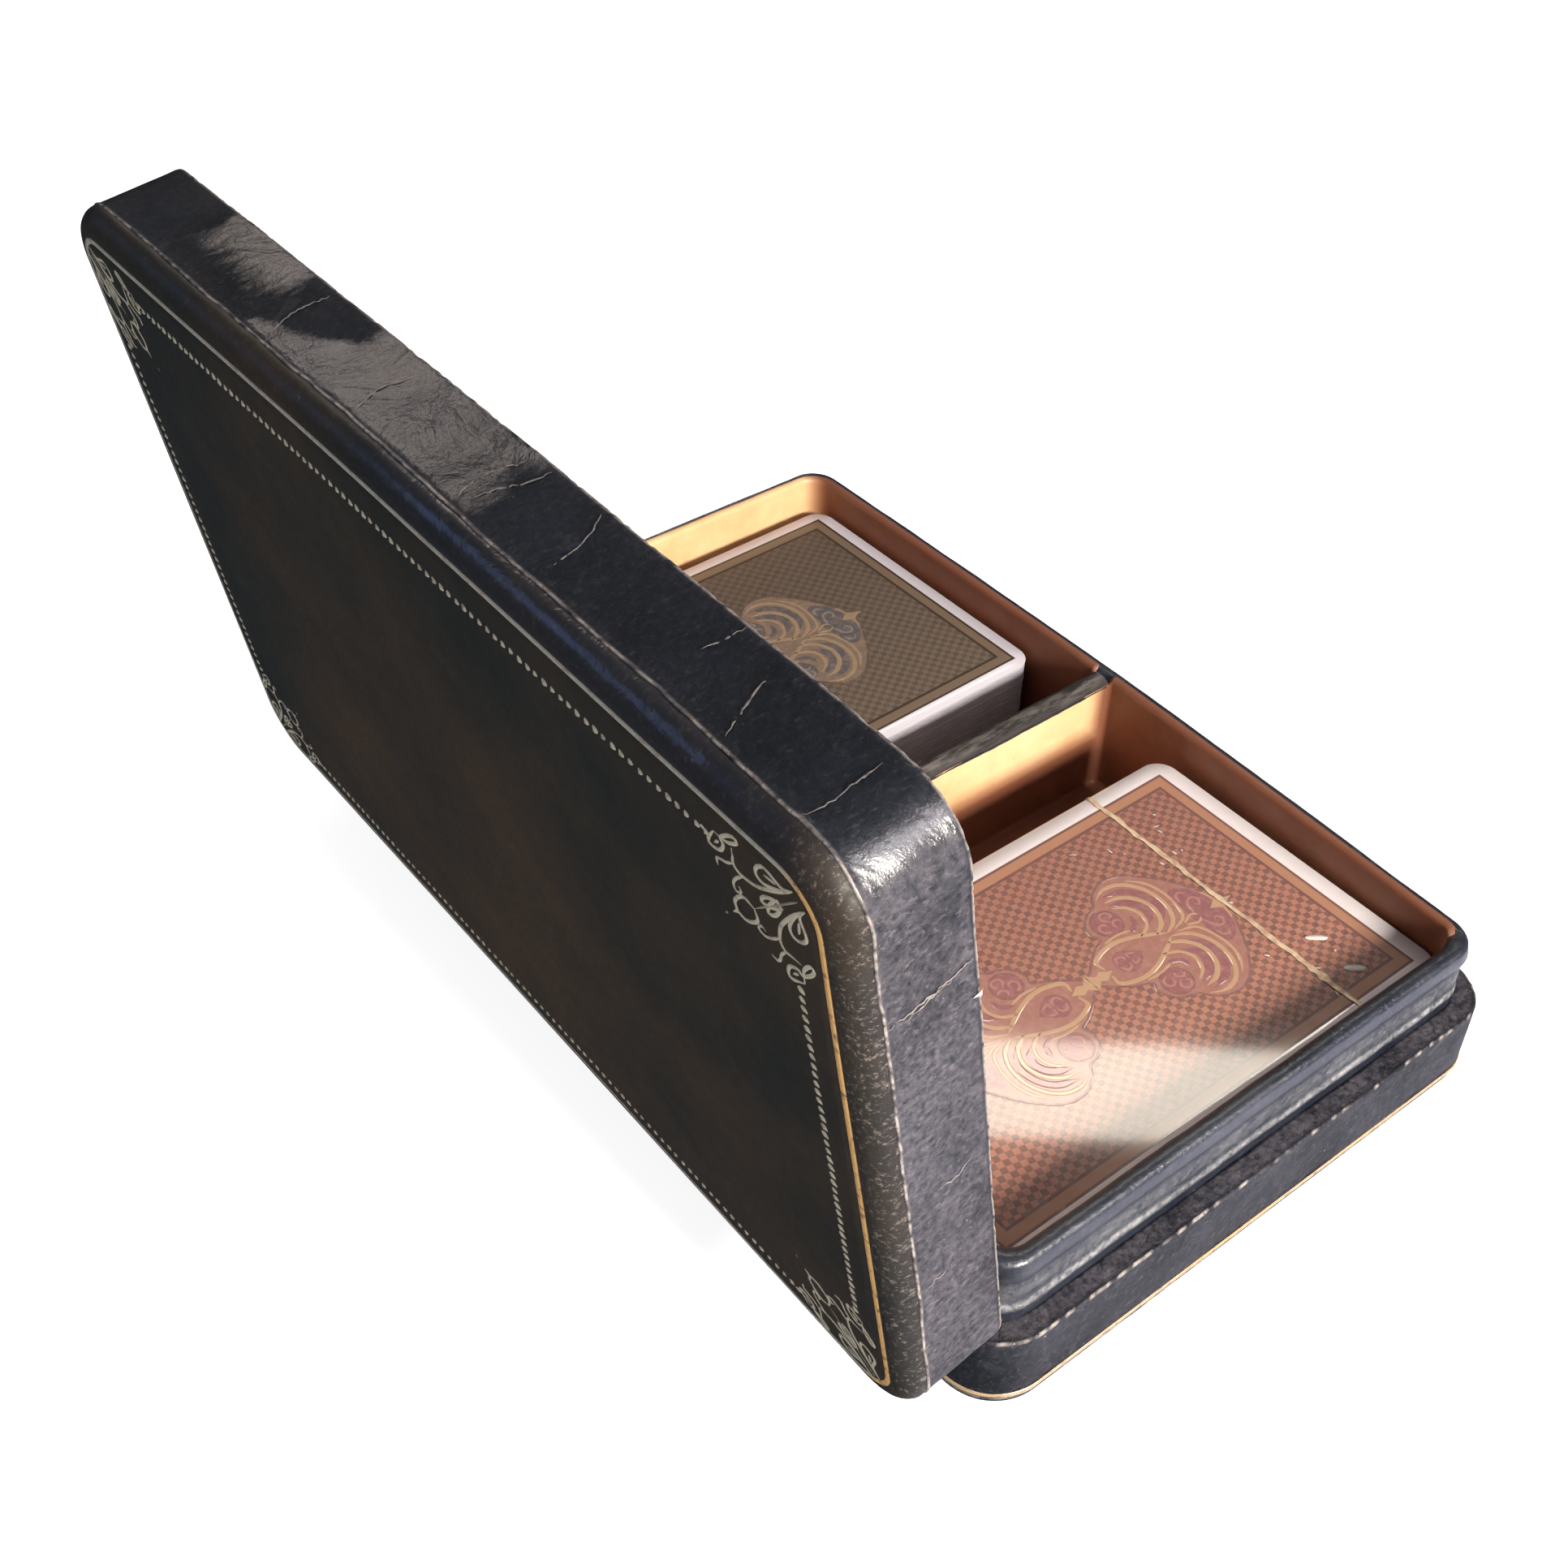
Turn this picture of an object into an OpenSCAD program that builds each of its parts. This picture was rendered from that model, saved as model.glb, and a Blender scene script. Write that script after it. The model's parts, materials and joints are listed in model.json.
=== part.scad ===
// Double card-deck case: a hinged leather box with a raised collar that the lid
// closes over, a divider, and two card decks lying crosswise in its compartments.
// Origin: centre of the underside. X along the case, +Y to the hinge side, +Z up.
// Every solid is drawn with the lid open.

/* [Case] */
// Outer length of base and lid
case_length = 160.2; // [154:0.2:176]
// Outer width of base and lid, front to hinge side
case_width = 101.4; // [101.4:0.2:112]
// Outer corner radius seen from above
corner_radius = 8.6; // [7.8:0.2:12]
// Height of the base up to the ledge that the lid lands on
ledge_height = 14.3; // [12:0.1:16]
// Width of that ledge around the collar
ledge_width = 3.6; // [3.6:0.1:4.4]
// Outward bow of the front edge at mid-length
case_bow = 0.7; // [0:0.1:1.2]

/* [Collar] */
// Height of the collar's rolled rim above the underside
collar_height = 25.7; // [24:0.1:27]
// Full thickness of the collar wall: leather, board and lining
collar_wall = 2.3; // [2.2:0.1:2.6]
// Outward bow of the collar's front wall at mid-length
collar_bow = 1.3; // [0:0.1:1.3]
// Thickness of the divider's board
divider_board_t = 2.8; // [2:0.1:4]
// Height of the divider's leather cap above the underside
divider_height = 25.3; // [23:0.1:25.6]

/* [Lid] */
// Height of the lid from its rim to the edge of its top
lid_depth = 15.0; // [14.6:0.1:17]
// How far the padded top stands above its edge in the middle
lid_crown = 0.9; // [0.2:0.1:2]
// Opening angle of the lid, where its hinge is taut
lid_open_angle = 99.5; // [90:0.5:110]
// Height of the hinge fold above the ledge
hinge_rise = 1.76; // [1.6:0.02:2]
// Length of the hinge strip
hinge_length = 134; // [80:1:140]

/* [Decks] */
// Card width
card_w = 57; // [56:0.5:57]
// Card length
card_l = 88; // [86:0.5:88]
// Corner radius of a card
card_r = 3.5; // [2:0.5:5]
// Height of one deck
deck_height = 16.8; // [14:0.1:18]
// Middle of the left deck along X
left_deck_x = -45.0; // [-45:0.5:-33]
// Middle of the right deck along X
right_deck_x = 42.0; // [34:0.5:43]
// Skew of the left deck in its compartment
left_deck_skew = 0.3; // [0:0.1:0.3]
// Skew of the right deck in its compartment
right_deck_skew = 1.2; // [0:0.1:1.2]

/* [Hidden] */

// Layer thicknesses
leather_t = 0.7;
collar_leather_t = 0.6;
lining_t = 0.4;
lid_lining_t = 0.3;
bottom_leather_t = 0.8;
floor_board_t = 1.8;
top_board_t = 1.8;
hinge_leather_t = 0.5;
wrap_t = 0.2;
card_t = 0.3;
strip_t = 0.1;
strip_w = 2.4;

// Heights of the layers in the base
board_z = bottom_leather_t + floor_board_t;
floor_z = board_z + lining_t;
collar_board_z = collar_height - 1.1;
flap_z = collar_height - 2.1;
ledge_flap_t = 0.5;

// Half sizes of the outlines
half_x = case_length / 2;
half_y = case_width / 2;
collar_x = half_x - ledge_width;
collar_y = half_y - ledge_width;

// The lid, in its closed place
rim_gap = 0.26;
rim_z = ledge_height + rim_gap;
rim_flap_t = 0.34;
lid_edge_z = rim_z + lid_depth;
ceiling_z = collar_height + 0.4;
lid_board_z = ceiling_z + lid_lining_t;
seam_z = lid_board_z - 0.2;
lid_gap_side = 0.6;
lid_gap_front = 0.9;
lid_shift_y = (lid_gap_side - lid_gap_front) / 2;
lid_in_x = collar_x + lid_gap_side;
lid_in_y = collar_y + (lid_gap_side + lid_gap_front) / 2;
hinge_y = half_y;
hinge_z = ledge_height + hinge_rise;

// Outline resolution: steps along the bowed front and round each corner
bow_steps = 16;
arc_steps = 6;
butt_x = 10; // the front and back boards run this far past the corners' arcs

// ---- outlines -------------------------------------------------------------
function arc(cx, cy, r, from) =
  [for (i = [0:arc_steps]) let (a = from + 90 * i / arc_steps)
    [cx + r * cos(a), cy + r * sin(a)]];

function bow_at(x, run, bow) = bow * (1 - pow(min(abs(x) / run, 1), 1.4));

// Rounded rectangle whose front side (-Y) bows outward
function outline(hx, hy, r, bow, shift = 0) =
  let (run = hx - r)
  concat(
    [for (i = [1:bow_steps - 1]) let (x = -run + 2 * run * i / bow_steps)
      [x, shift - hy - bow_at(x, run, bow)]],
    arc(run, shift - hy + r, r, -90), arc(run, shift + hy - r, r, 0),
    arc(-run, shift + hy - r, r, 90), arc(-run, shift - hy + r, r, 180));

function case_line(inset) =
  outline(half_x - inset, half_y - inset, max(corner_radius - inset * 0.8, 1.5), case_bow);
function collar_line(inset) =
  outline(collar_x - inset, collar_y - inset, corner_radius - ledge_width - inset * 0.6, collar_bow);
function lid_inner_line(outset) =
  outline(lid_in_x + outset, lid_in_y + outset, corner_radius - ledge_width + 0.5 + outset,
          collar_bow, lid_shift_y);

// ---- helpers --------------------------------------------------------------
module prism(points, z0, z1) translate([0, 0, z0]) linear_extrude(z1 - z0) polygon(points);

module ring(outer, inner, z0, z1)
  translate([0, 0, z0]) linear_extrude(z1 - z0)
    difference() { polygon(outer); polygon(inner); }

// Rings of equal length joined in order, capped at the first and the last one
module loft(rings, levels) {
  n = len(rings[0]);
  last = len(rings) - 1;
  points = [for (k = [0:last], p = rings[k]) [p[0], p[1], levels[k]]];
  sides = [for (k = [0:last - 1], i = [0:n - 1])
    [k * n + i, (k + 1) * n + i, (k + 1) * n + (i + 1) % n, k * n + (i + 1) % n]];
  bottom = [for (i = [0:n - 1]) i];
  top = [for (i = [0:n - 1]) last * n + n - 1 - i];
  polyhedron(points, concat([bottom], sides, [top]), convexity = 4);
}

// Rings of equal length joined in order and back to the first one
module band(rings, levels) {
  n = len(rings[0]);
  m = len(rings);
  points = [for (k = [0:m - 1], p = rings[k]) [p[0], p[1], levels[k]]];
  sides = [for (k = [0:m - 1], i = [0:n - 1]) let (up = (k + 1) % m)
    [k * n + i, up * n + i, up * n + (i + 1) % n, k * n + (i + 1) % n]];
  polyhedron(points, sides, convexity = 6);
}

// The part of a ring that makes one wall: long walls take the corners
module long_wall_area(side) translate([-half_x, side > 0 ? 0 : -case_width])
  square([case_length, case_width]);
module end_wall_area(side) translate([side > 0 ? half_x - butt_x : -half_x - 1, -half_y + butt_x])
  square([butt_x + 1, case_width - 2 * butt_x]);

module long_wall(outer, inner, z0, z1, side)
  translate([0, 0, z0]) linear_extrude(z1 - z0) difference() {
    intersection() {
      difference() { polygon(outer); polygon(inner); }
      long_wall_area(side);
    }
    end_wall_area(1);
    end_wall_area(-1);
  }

module end_wall(outer, inner, z0, z1, side)
  translate([0, 0, z0]) linear_extrude(z1 - z0) intersection() {
    difference() { polygon(outer); polygon(inner); }
    end_wall_area(side);
  }

module half_plane(side, edge) translate([side > 0 ? edge : -edge - case_length, -case_width])
  square([case_length, 2 * case_width]);

module card_shape(w, l, r) {
  square([w - 2 * r, l], center = true);
  square([w, l - 2 * r], center = true);
  for (x = [-1, 1], y = [-1, 1]) translate([x * (w / 2 - r), y * (l / 2 - r)]) circle(r, $fn = 32);
}

module card_block(w, l, r, z0, z1) translate([0, 0, z0]) linear_extrude(z1 - z0) card_shape(w, l, r);

// Turns a solid of the closed lid about the hinge fold into the open place
module opened() translate([0, hinge_y, hinge_z]) rotate([-lid_open_angle, 0, 0])
  translate([0, -hinge_y, -hinge_z]) children();

module left_place() translate([left_deck_x, 0, 0]) rotate([0, 0, left_deck_skew]) children();
module right_place() translate([right_deck_x, -0.3, 0]) rotate([0, 0, right_deck_skew]) children();

// ---- base -----------------------------------------------------------------
module base_bottom_leather() {
  insets = [2.3, 1.0, 0.3, 0, 2.0, 2.0];
  levels = [0, 0.3, 1.1, board_z, board_z, bottom_leather_t];
  color("#15161c") loft([for (i = insets) case_line(i)], levels);
}

module base_floor_board()
  color("#8a7458") prism(case_line(2.0), bottom_leather_t, board_z);

base_wall_top = ledge_height - ledge_flap_t;

module base_wall_front()
  color("#8a7458") long_wall(case_line(leather_t), collar_line(0), board_z, base_wall_top, -1);
module base_wall_back()
  color("#8a7458") long_wall(case_line(leather_t), collar_line(0), board_z, base_wall_top, 1);
module base_wall_left()
  color("#8a7458") end_wall(case_line(leather_t), collar_line(0), board_z, base_wall_top, -1);
module base_wall_right()
  color("#8a7458") end_wall(case_line(leather_t), collar_line(0), board_z, base_wall_top, 1);

module base_side_leather() color("#1b1c24") {
  ring(case_line(0), case_line(leather_t), board_z, ledge_height);
  ring(case_line(leather_t), collar_line(0), base_wall_top, ledge_height);
}

collar_inset = collar_leather_t;
lining_inset = collar_wall - lining_t;

module collar_board_front()
  color("#8a7458")
    long_wall(collar_line(collar_inset), collar_line(lining_inset), board_z, collar_board_z, -1);
module collar_board_back()
  color("#8a7458")
    long_wall(collar_line(collar_inset), collar_line(lining_inset), board_z, collar_board_z, 1);
module collar_board_left()
  color("#8a7458")
    end_wall(collar_line(collar_inset), collar_line(lining_inset), board_z, collar_board_z, -1);
module collar_board_right()
  color("#8a7458")
    end_wall(collar_line(collar_inset), collar_line(lining_inset), board_z, collar_board_z, 1);

// Outer skin of the collar, rolled over the rim and turned in above the lining
module collar_leather() {
  mid = collar_wall / 2;
  insets = [0, 0, 0.35, mid, collar_wall - 0.35, collar_wall, collar_wall,
            lining_inset, lining_inset, collar_inset, collar_inset];
  levels = [board_z, collar_board_z, collar_height - 0.3, collar_height, collar_height - 0.3,
            collar_board_z, flap_z, flap_z, collar_board_z, collar_board_z, board_z];
  color("#1c1f2e") band([for (i = insets) collar_line(i)], levels);
}

divider_half = divider_board_t / 2;
divider_lined = divider_half + lining_t;
cap_half = divider_lined + 0.25;
cap_low_z = divider_height - 1.7;
divider_back_y = collar_y - collar_wall;
divider_front_y = -(collar_y - collar_wall + collar_bow - 0.05);

module divider_board()
  color("#8a7458") translate([-divider_half, divider_front_y, board_z])
    cube([divider_board_t, divider_back_y - divider_front_y, divider_height - 0.8 - board_z]);

// Leather folded over the top of the divider, down onto its faces
module divider_leather()
  color("#23252e") translate([0, divider_back_y, 0]) rotate([90, 0, 0])
    linear_extrude(divider_back_y - divider_front_y) difference() {
      union() {
        translate([-cap_half, cap_low_z])
          square([2 * cap_half, divider_height - cap_half / 2 - cap_low_z]);
        intersection() {
          translate([0, divider_height - cap_half]) circle(cap_half, $fn = 40);
          translate([-cap_half, cap_low_z + 0.5]) square([2 * cap_half, 4]);
        }
      }
      translate([-divider_half, cap_low_z - 1])
        square([divider_board_t, divider_height - 0.8 - cap_low_z + 1]);
    }

// Lining of one compartment's four walls
module wall_lining(side)
  color("#c8743a") translate([0, 0, floor_z]) linear_extrude(cap_low_z - floor_z) difference() {
    intersection() { polygon(collar_line(lining_inset)); half_plane(side, divider_half); }
    intersection() { polygon(collar_line(collar_wall)); half_plane(side, divider_lined); }
  }
module left_wall_lining() wall_lining(-1);
module right_wall_lining() wall_lining(1);

module floor_lining(side)
  color("#a85a2c") translate([0, 0, board_z]) linear_extrude(lining_t)
    intersection() { polygon(collar_line(lining_inset)); half_plane(side, divider_half); }
module left_floor_lining() floor_lining(-1);
module right_floor_lining() floor_lining(1);

module hinge_base_leaf()
  color("#101117") translate([-hinge_length / 2, half_y, 5])
    cube([hinge_length, hinge_leather_t, ledge_height + 0.6 - 5]);

// ---- lid ------------------------------------------------------------------
lid_wall_z = rim_z + rim_flap_t;
crown_top_z = lid_edge_z + lid_crown;
// Profile of the padding, and of the leather's inner face that lies on it
pad_insets = [28, 12, 5, 3.5];
pad_levels = [crown_top_z - leather_t, crown_top_z - leather_t - lid_crown * 0.35,
              lid_edge_z - leather_t + 0.1, lid_board_z + top_board_t];

module lid_top_leather() {
  insets = concat(pad_insets, [leather_t, leather_t, 0, 0, 0.5, 1.6, 3.2, 6, 14, 28]);
  levels = concat(pad_levels, [lid_board_z + top_board_t, seam_z, seam_z, lid_edge_z - 1.9,
    lid_edge_z - 0.8, lid_edge_z - 0.1, lid_edge_z + 0.05, lid_edge_z + lid_crown * 0.3,
    lid_edge_z + lid_crown * 0.7, crown_top_z]);
  color("#10141a") opened() loft([for (i = insets) case_line(i)], levels);
}

module lid_padding()
  color("#6d6a62") opened()
    loft([for (k = [3:-1:0]) case_line(pad_insets[k])], [for (k = [3:-1:0]) pad_levels[k]]);

module lid_top_board()
  color("#8a7458") opened() prism(case_line(leather_t), lid_board_z, lid_board_z + top_board_t);

module lid_wall_front() color("#8a7458") opened()
  long_wall(case_line(leather_t), lid_inner_line(lid_lining_t), lid_wall_z, lid_board_z, -1);
module lid_wall_back() color("#8a7458") opened()
  long_wall(case_line(leather_t), lid_inner_line(lid_lining_t), lid_wall_z, lid_board_z, 1);
module lid_wall_left() color("#8a7458") opened()
  end_wall(case_line(leather_t), lid_inner_line(lid_lining_t), lid_wall_z, lid_board_z, -1);
module lid_wall_right() color("#8a7458") opened()
  end_wall(case_line(leather_t), lid_inner_line(lid_lining_t), lid_wall_z, lid_board_z, 1);

module lid_side_leather() color("#1b1c24") opened() {
  ring(case_line(0), case_line(leather_t), rim_z, seam_z);
  ring(case_line(leather_t), lid_inner_line(0), rim_z, lid_wall_z);
}

module lid_top_lining()
  color("#b9672f") opened() prism(lid_inner_line(lid_lining_t), ceiling_z, lid_board_z);

module lid_wall_lining()
  color("#c8743a") opened() ring(lid_inner_line(lid_lining_t), lid_inner_line(0), lid_wall_z, ceiling_z);

module hinge_lid_leaf()
  color("#101117") opened() translate([-hinge_length / 2, half_y, hinge_z - 0.66])
    cube([hinge_length, hinge_leather_t, 9]);

// ---- decks ----------------------------------------------------------------
deck_top_z = floor_z + deck_height;
wrap_w = card_w + 0.1 + 2 * wrap_t;
wrap_l = card_l + 0.1 + 2 * wrap_t;
wrap_r = card_r + wrap_t;
strip_y = -card_l / 2 + 16.4;

module left_card_stack()
  color("#efe6dc") left_place()
    card_block(card_w, card_l, card_r, floor_z + wrap_t, deck_top_z - wrap_t - card_t);
module left_top_card()
  color("#a4564a") left_place()
    card_block(card_w, card_l, card_r, deck_top_z - wrap_t - card_t, deck_top_z - wrap_t);

module left_deck_wrap()
  color("#f4efe6", 0.35) left_place() difference() {
    card_block(wrap_w, wrap_l, wrap_r, floor_z, deck_top_z);
    card_block(wrap_w - 2 * wrap_t, wrap_l - 2 * wrap_t, card_r, floor_z + wrap_t, deck_top_z - wrap_t);
  }

// Opening band of the wrapper, over the top and down both long edges
module left_tear_strip()
  color("#d9b45c") left_place() translate([0, strip_y, 0]) difference() {
    translate([-wrap_w / 2 - strip_t, -strip_w / 2, floor_z + 0.4])
      cube([wrap_w + 2 * strip_t, strip_w, deck_height - 0.4 + strip_t]);
    translate([-wrap_w / 2, -strip_w, floor_z]) cube([wrap_w, 2 * strip_w, deck_height]);
  }

module right_card_stack()
  color("#efe6dc") right_place() card_block(card_w, card_l, card_r, floor_z, deck_top_z - card_t);
module right_top_card()
  color("#7d7263") right_place() card_block(card_w, card_l, card_r, deck_top_z - card_t, deck_top_z);

base_bottom_leather();
base_floor_board();
base_wall_front();
base_wall_back();
base_wall_left();
base_wall_right();
base_side_leather();
collar_board_front();
collar_board_back();
collar_board_left();
collar_board_right();
collar_leather();
divider_board();
divider_leather();
left_wall_lining();
right_wall_lining();
left_floor_lining();
right_floor_lining();
hinge_base_leaf();
lid_top_leather();
lid_padding();
lid_top_board();
lid_wall_front();
lid_wall_back();
lid_wall_left();
lid_wall_right();
lid_side_leather();
lid_top_lining();
lid_wall_lining();
hinge_lid_leaf();
left_card_stack();
left_top_card();
left_deck_wrap();
left_tear_strip();
right_card_stack();
right_top_card();
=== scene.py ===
"""Looks of the double card-deck case: leather, gold tooling, linings, cards and wrapper.

Everything is built in millimetres in the frame's axes (+X along the case, +Y to the hinge,
+Z up) and written to meshes in metres. Pieces of the lid are built in its closed place and
turned open about the hinge.
"""
import json
import math
import random

import bpy
import numpy as np
from mathutils import Matrix, Vector, noise


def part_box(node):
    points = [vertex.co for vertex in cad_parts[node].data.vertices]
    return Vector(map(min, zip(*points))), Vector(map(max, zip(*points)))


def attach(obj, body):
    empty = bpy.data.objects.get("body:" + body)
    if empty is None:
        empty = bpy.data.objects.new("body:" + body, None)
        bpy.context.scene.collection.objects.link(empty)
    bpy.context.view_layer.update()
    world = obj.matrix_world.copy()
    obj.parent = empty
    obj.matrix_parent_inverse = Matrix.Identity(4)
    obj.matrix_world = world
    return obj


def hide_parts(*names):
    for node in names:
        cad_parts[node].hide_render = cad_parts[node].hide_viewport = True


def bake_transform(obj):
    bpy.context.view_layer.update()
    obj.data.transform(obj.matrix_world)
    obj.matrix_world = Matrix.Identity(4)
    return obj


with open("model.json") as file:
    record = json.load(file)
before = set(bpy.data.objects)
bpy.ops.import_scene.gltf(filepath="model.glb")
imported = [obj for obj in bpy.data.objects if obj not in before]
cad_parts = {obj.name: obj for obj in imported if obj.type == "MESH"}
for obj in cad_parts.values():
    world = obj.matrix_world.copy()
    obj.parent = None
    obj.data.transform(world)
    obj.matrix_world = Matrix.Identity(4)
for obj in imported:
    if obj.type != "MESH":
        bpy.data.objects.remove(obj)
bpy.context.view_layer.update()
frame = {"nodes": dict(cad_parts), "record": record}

MM = 0.001
RNG = random.Random(7)
WORLD_LIGHT = 0.24
# Soft panels seen only in reflections, aimed so that the highlights fall as in the photo:
# direction, inner and outer angle in degrees, colour
PANELS = [
    ((-0.41, -0.48, -0.77), 16, 46, (1.15, 1.08, 1.22)),
    ((-0.72, -0.57, -0.41), 2, 14, (0.8, 1.05, 1.6)),
    ((0.795, -0.21, 0.575), 4, 9, (5.0, 4.3, 3.9)),
    ((-0.74, -0.29, 0.61), 5, 13, (17, 16, 16.5)),
    ((0.65, 0.60, 0.45), 5, 16, (0.6, 0.9, 1.8)),
    ((-0.6, 0.5, 0.6), 10, 40, (0.35, 0.45, 0.75)),
]
DARK_ROOM = (0.05, 0.052, 0.058)    # what reflections see between the panels
# Camera, as a scratch script fitted it to edges and card corners of the photo: place in
# millimetres, the directions of the picture's right and down, and its framing
CAMERA_AT = (-170.75, 160.86, 234.75)
CAMERA_RIGHT = (-0.63066, -0.77507, 0.03919)
CAMERA_DOWN = (-0.51129, 0.37698, -0.77231)
LENS_MM, SENSOR_MM = 46.7, 36
FRAME_SHIFT = (-0.032, -0.0562)


# ---- sizes read from the frame (millimetres) ---------------------------------------------
def extent(node):
    low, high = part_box(node)
    return [v / MM for v in low], [v / MM for v in high]


def joint(name):
    return next(j for j in frame["record"]["behaviour"]["joints"] if j["name"] == name)


side_low, side_high = extent("base_side_leather")
HALF_X, HALF_Y = side_high[0], side_high[1]
LEDGE_Z, SEAM_BASE_Z = side_high[2], side_low[2]
COLLAR_X, COLLAR_Y, COLLAR_Z = extent("collar_leather")[1]
FLOOR_Z = extent("left_floor_lining")[1][2]
LINING_Z = extent("left_wall_lining")[1][2]
DIVIDER_HALF, _, DIVIDER_Z = extent("divider_leather")[1]

CASE_R = 8.6            # outer corner radius seen from above
CASE_BOW = 0.7          # outward bow of the case's front edge
COLLAR_R = 5.0
COLLAR_BOW = 1.3
COLLAR_WALL = 2.3
RIM_Z = LEDGE_Z + 0.26  # lid rim, lid closed
LID_DEPTH = 15.0
LID_TOP_Z = RIM_Z + LID_DEPTH
LID_SEAM_Z = COLLAR_Z + 0.5
LID_CROWN = 0.9
EDGE_R = 2.9            # rounding of the lid's top edge
GOLD_INSET = 3.5        # gold line from the outer edge
ROPE_INSET = 7.9        # rope border from the outer edge
ROPE_PITCH = 1.51       # from one drop of the rope border to the next
SPRAY_REACH = 12.2      # the rope border ends this far from its corners
LID_LINE_WIDTH = 0.85   # gold line on the lid
BASE_LINE_Z, BASE_LINE_HALF = 3.1, 0.36     # gold line round the base, and half its width

CARD_W, CARD_L, CARD_R = 57.0, 88.0, 3.5
PRINT_X, PRINT_Y = 25.3, 40.7   # half size of the printed area
LATTICE_MM = 1.03       # one square of the woven pattern
LATTICE_TURN = 13       # degrees from the card's edges
CARD_T = 0.3

hinge = joint("lid_hinge")
HINGE = Vector(hinge["pos_m"]) / MM
OPEN_ANGLE = math.radians(-hinge["range_deg"][0])
TO_OPEN = (Matrix.Translation(HINGE) @ Matrix.Rotation(-OPEN_ANGLE, 4, "X")
           @ Matrix.Translation(-HINGE))
TO_OPEN_NP = np.array(TO_OPEN)


def opened(points):
    """Points of the closed lid, turned to the open place."""
    points = np.asarray(points, float)
    return points @ TO_OPEN_NP[:3, :3].T + TO_OPEN_NP[:3, 3]


# ---- mesh helpers ------------------------------------------------------------------------
def new_object(name, verts, faces, smooth=True):
    mesh = bpy.data.meshes.new(name)
    mesh.from_pydata([tuple(v * MM) for v in np.asarray(verts, float)], [], faces)
    mesh.validate()
    mesh.update()
    mesh.polygons.foreach_set("use_smooth", [smooth] * len(mesh.polygons))
    obj = bpy.data.objects.new(name, mesh)
    bpy.context.scene.collection.objects.link(obj)
    return obj


def point_attribute(obj, name, values):
    attribute = obj.data.attributes.new(name, "FLOAT", "POINT")
    attribute.data.foreach_set("value", np.asarray(values, float).ravel())


def loft(name, rings, closed=False, cap_first=False, cap_last=False):
    """Closed outlines of equal length joined in order. rings is (k, n, 3)."""
    rings = np.asarray(rings, float)
    k, n, _ = rings.shape
    index = np.arange(k * n).reshape(k, n)
    pairs = [(i, i + 1) for i in range(k - 1)] + ([(k - 1, 0)] if closed else [])
    faces = []
    for low, up in pairs:
        a, b = index[low], index[up]
        a2, b2 = np.roll(a, -1), np.roll(b, -1)
        faces += [tuple(map(int, q)) for q in zip(a, a2, b2, b)]
    if cap_first:
        faces.append(tuple(int(v) for v in index[0][::-1]))
    if cap_last:
        faces.append(tuple(int(v) for v in index[-1]))
    return new_object(name, rings.reshape(-1, 3), faces)


def grid_faces(rows, columns):
    """Quads of a sheet whose points are listed row by row."""
    return [(r * columns + i, (r + 1) * columns + i, (r + 1) * columns + i + 1, r * columns + i + 1)
            for r in range(rows - 1) for i in range(columns - 1)]


def push_out(flat, outward, amount):
    """Moves the points of stacked rings out by an amount each, in place."""
    flat[:, :2] += np.tile(outward, (len(flat) // len(outward), 1)) * amount[:, None]


def facet(obj):
    obj.data.polygons.foreach_set("use_smooth", [False] * len(obj.data.polygons))


def bow_at(x, run, bow):
    return bow * (1 - np.minimum(np.abs(x) / run, 1) ** 1.4)


def rounded(x0, x1, y0, y1, radii, steps=(190, 120, 16)):
    """Rounded rectangle, counter-clockwise from its front side. radii: front-left,
    front-right, back-right, back-left. Gives the points and their outward normals."""
    long_steps, end_steps, arc_steps = steps
    fl, fr, br, bl = radii
    corners = [(x1 - fr, y0 + fr, fr, -90), (x1 - br, y1 - br, br, 0),
               (x0 + bl, y1 - bl, bl, 90), (x0 + fl, y0 + fl, fl, 180)]
    starts = [(x0 + fl, y0), (x1, y0 + fr), (x1 - br, y1), (x0, y1 - bl)]
    ends = [(x1 - fr, y0), (x1, y1 - br), (x0 + bl, y1), (x0, y0 + fl)]
    normals = [(0, -1), (1, 0), (0, 1), (-1, 0)]
    points, outward = [], []
    for side in range(4):
        count = long_steps if side % 2 == 0 else end_steps
        for i in range(count):
            t = i / count
            points.append([starts[side][a] * (1 - t) + ends[side][a] * t for a in (0, 1)])
            outward.append(normals[side])
        cx, cy, r, first = corners[side]
        for i in range(arc_steps):
            a = math.radians(first + 90 * i / arc_steps)
            points.append([cx + r * math.cos(a), cy + r * math.sin(a)])
            outward.append((math.cos(a), math.sin(a)))
    return np.array(points), np.array(outward)


def outline(hx, hy, r, bow=0.0, shift=0.0):
    """Outline of the case, lid or collar, with the front side bowed."""
    points, outward = rounded(-hx, hx, -hy, hy, (r,) * 4)
    lean = np.clip(-points[:, 1] / hy, 0, 1) ** 3
    points[:, 1] += shift - bow_at(points[:, 0], hx - r, bow) * lean
    return points, outward


def case_line(inset):
    return outline(HALF_X - inset, HALF_Y - inset, max(CASE_R - 0.8 * inset, 1.5), CASE_BOW)


def collar_line(inset):
    return outline(COLLAR_X - inset, COLLAR_Y - inset, COLLAR_R - 0.6 * inset, COLLAR_BOW)


def at_height(line, z):
    points, _ = line
    return np.column_stack([points, np.full(len(points), z)])


def noise_at(points, size, seed=0.0):
    """Smooth noise of about -1 to 1, with features of that size in millimetres."""
    shift = Vector((seed * 13.1, seed * 7.7, seed * 3.3))
    return np.array([noise.noise(Vector(p) / size + shift) for p in points])


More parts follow.
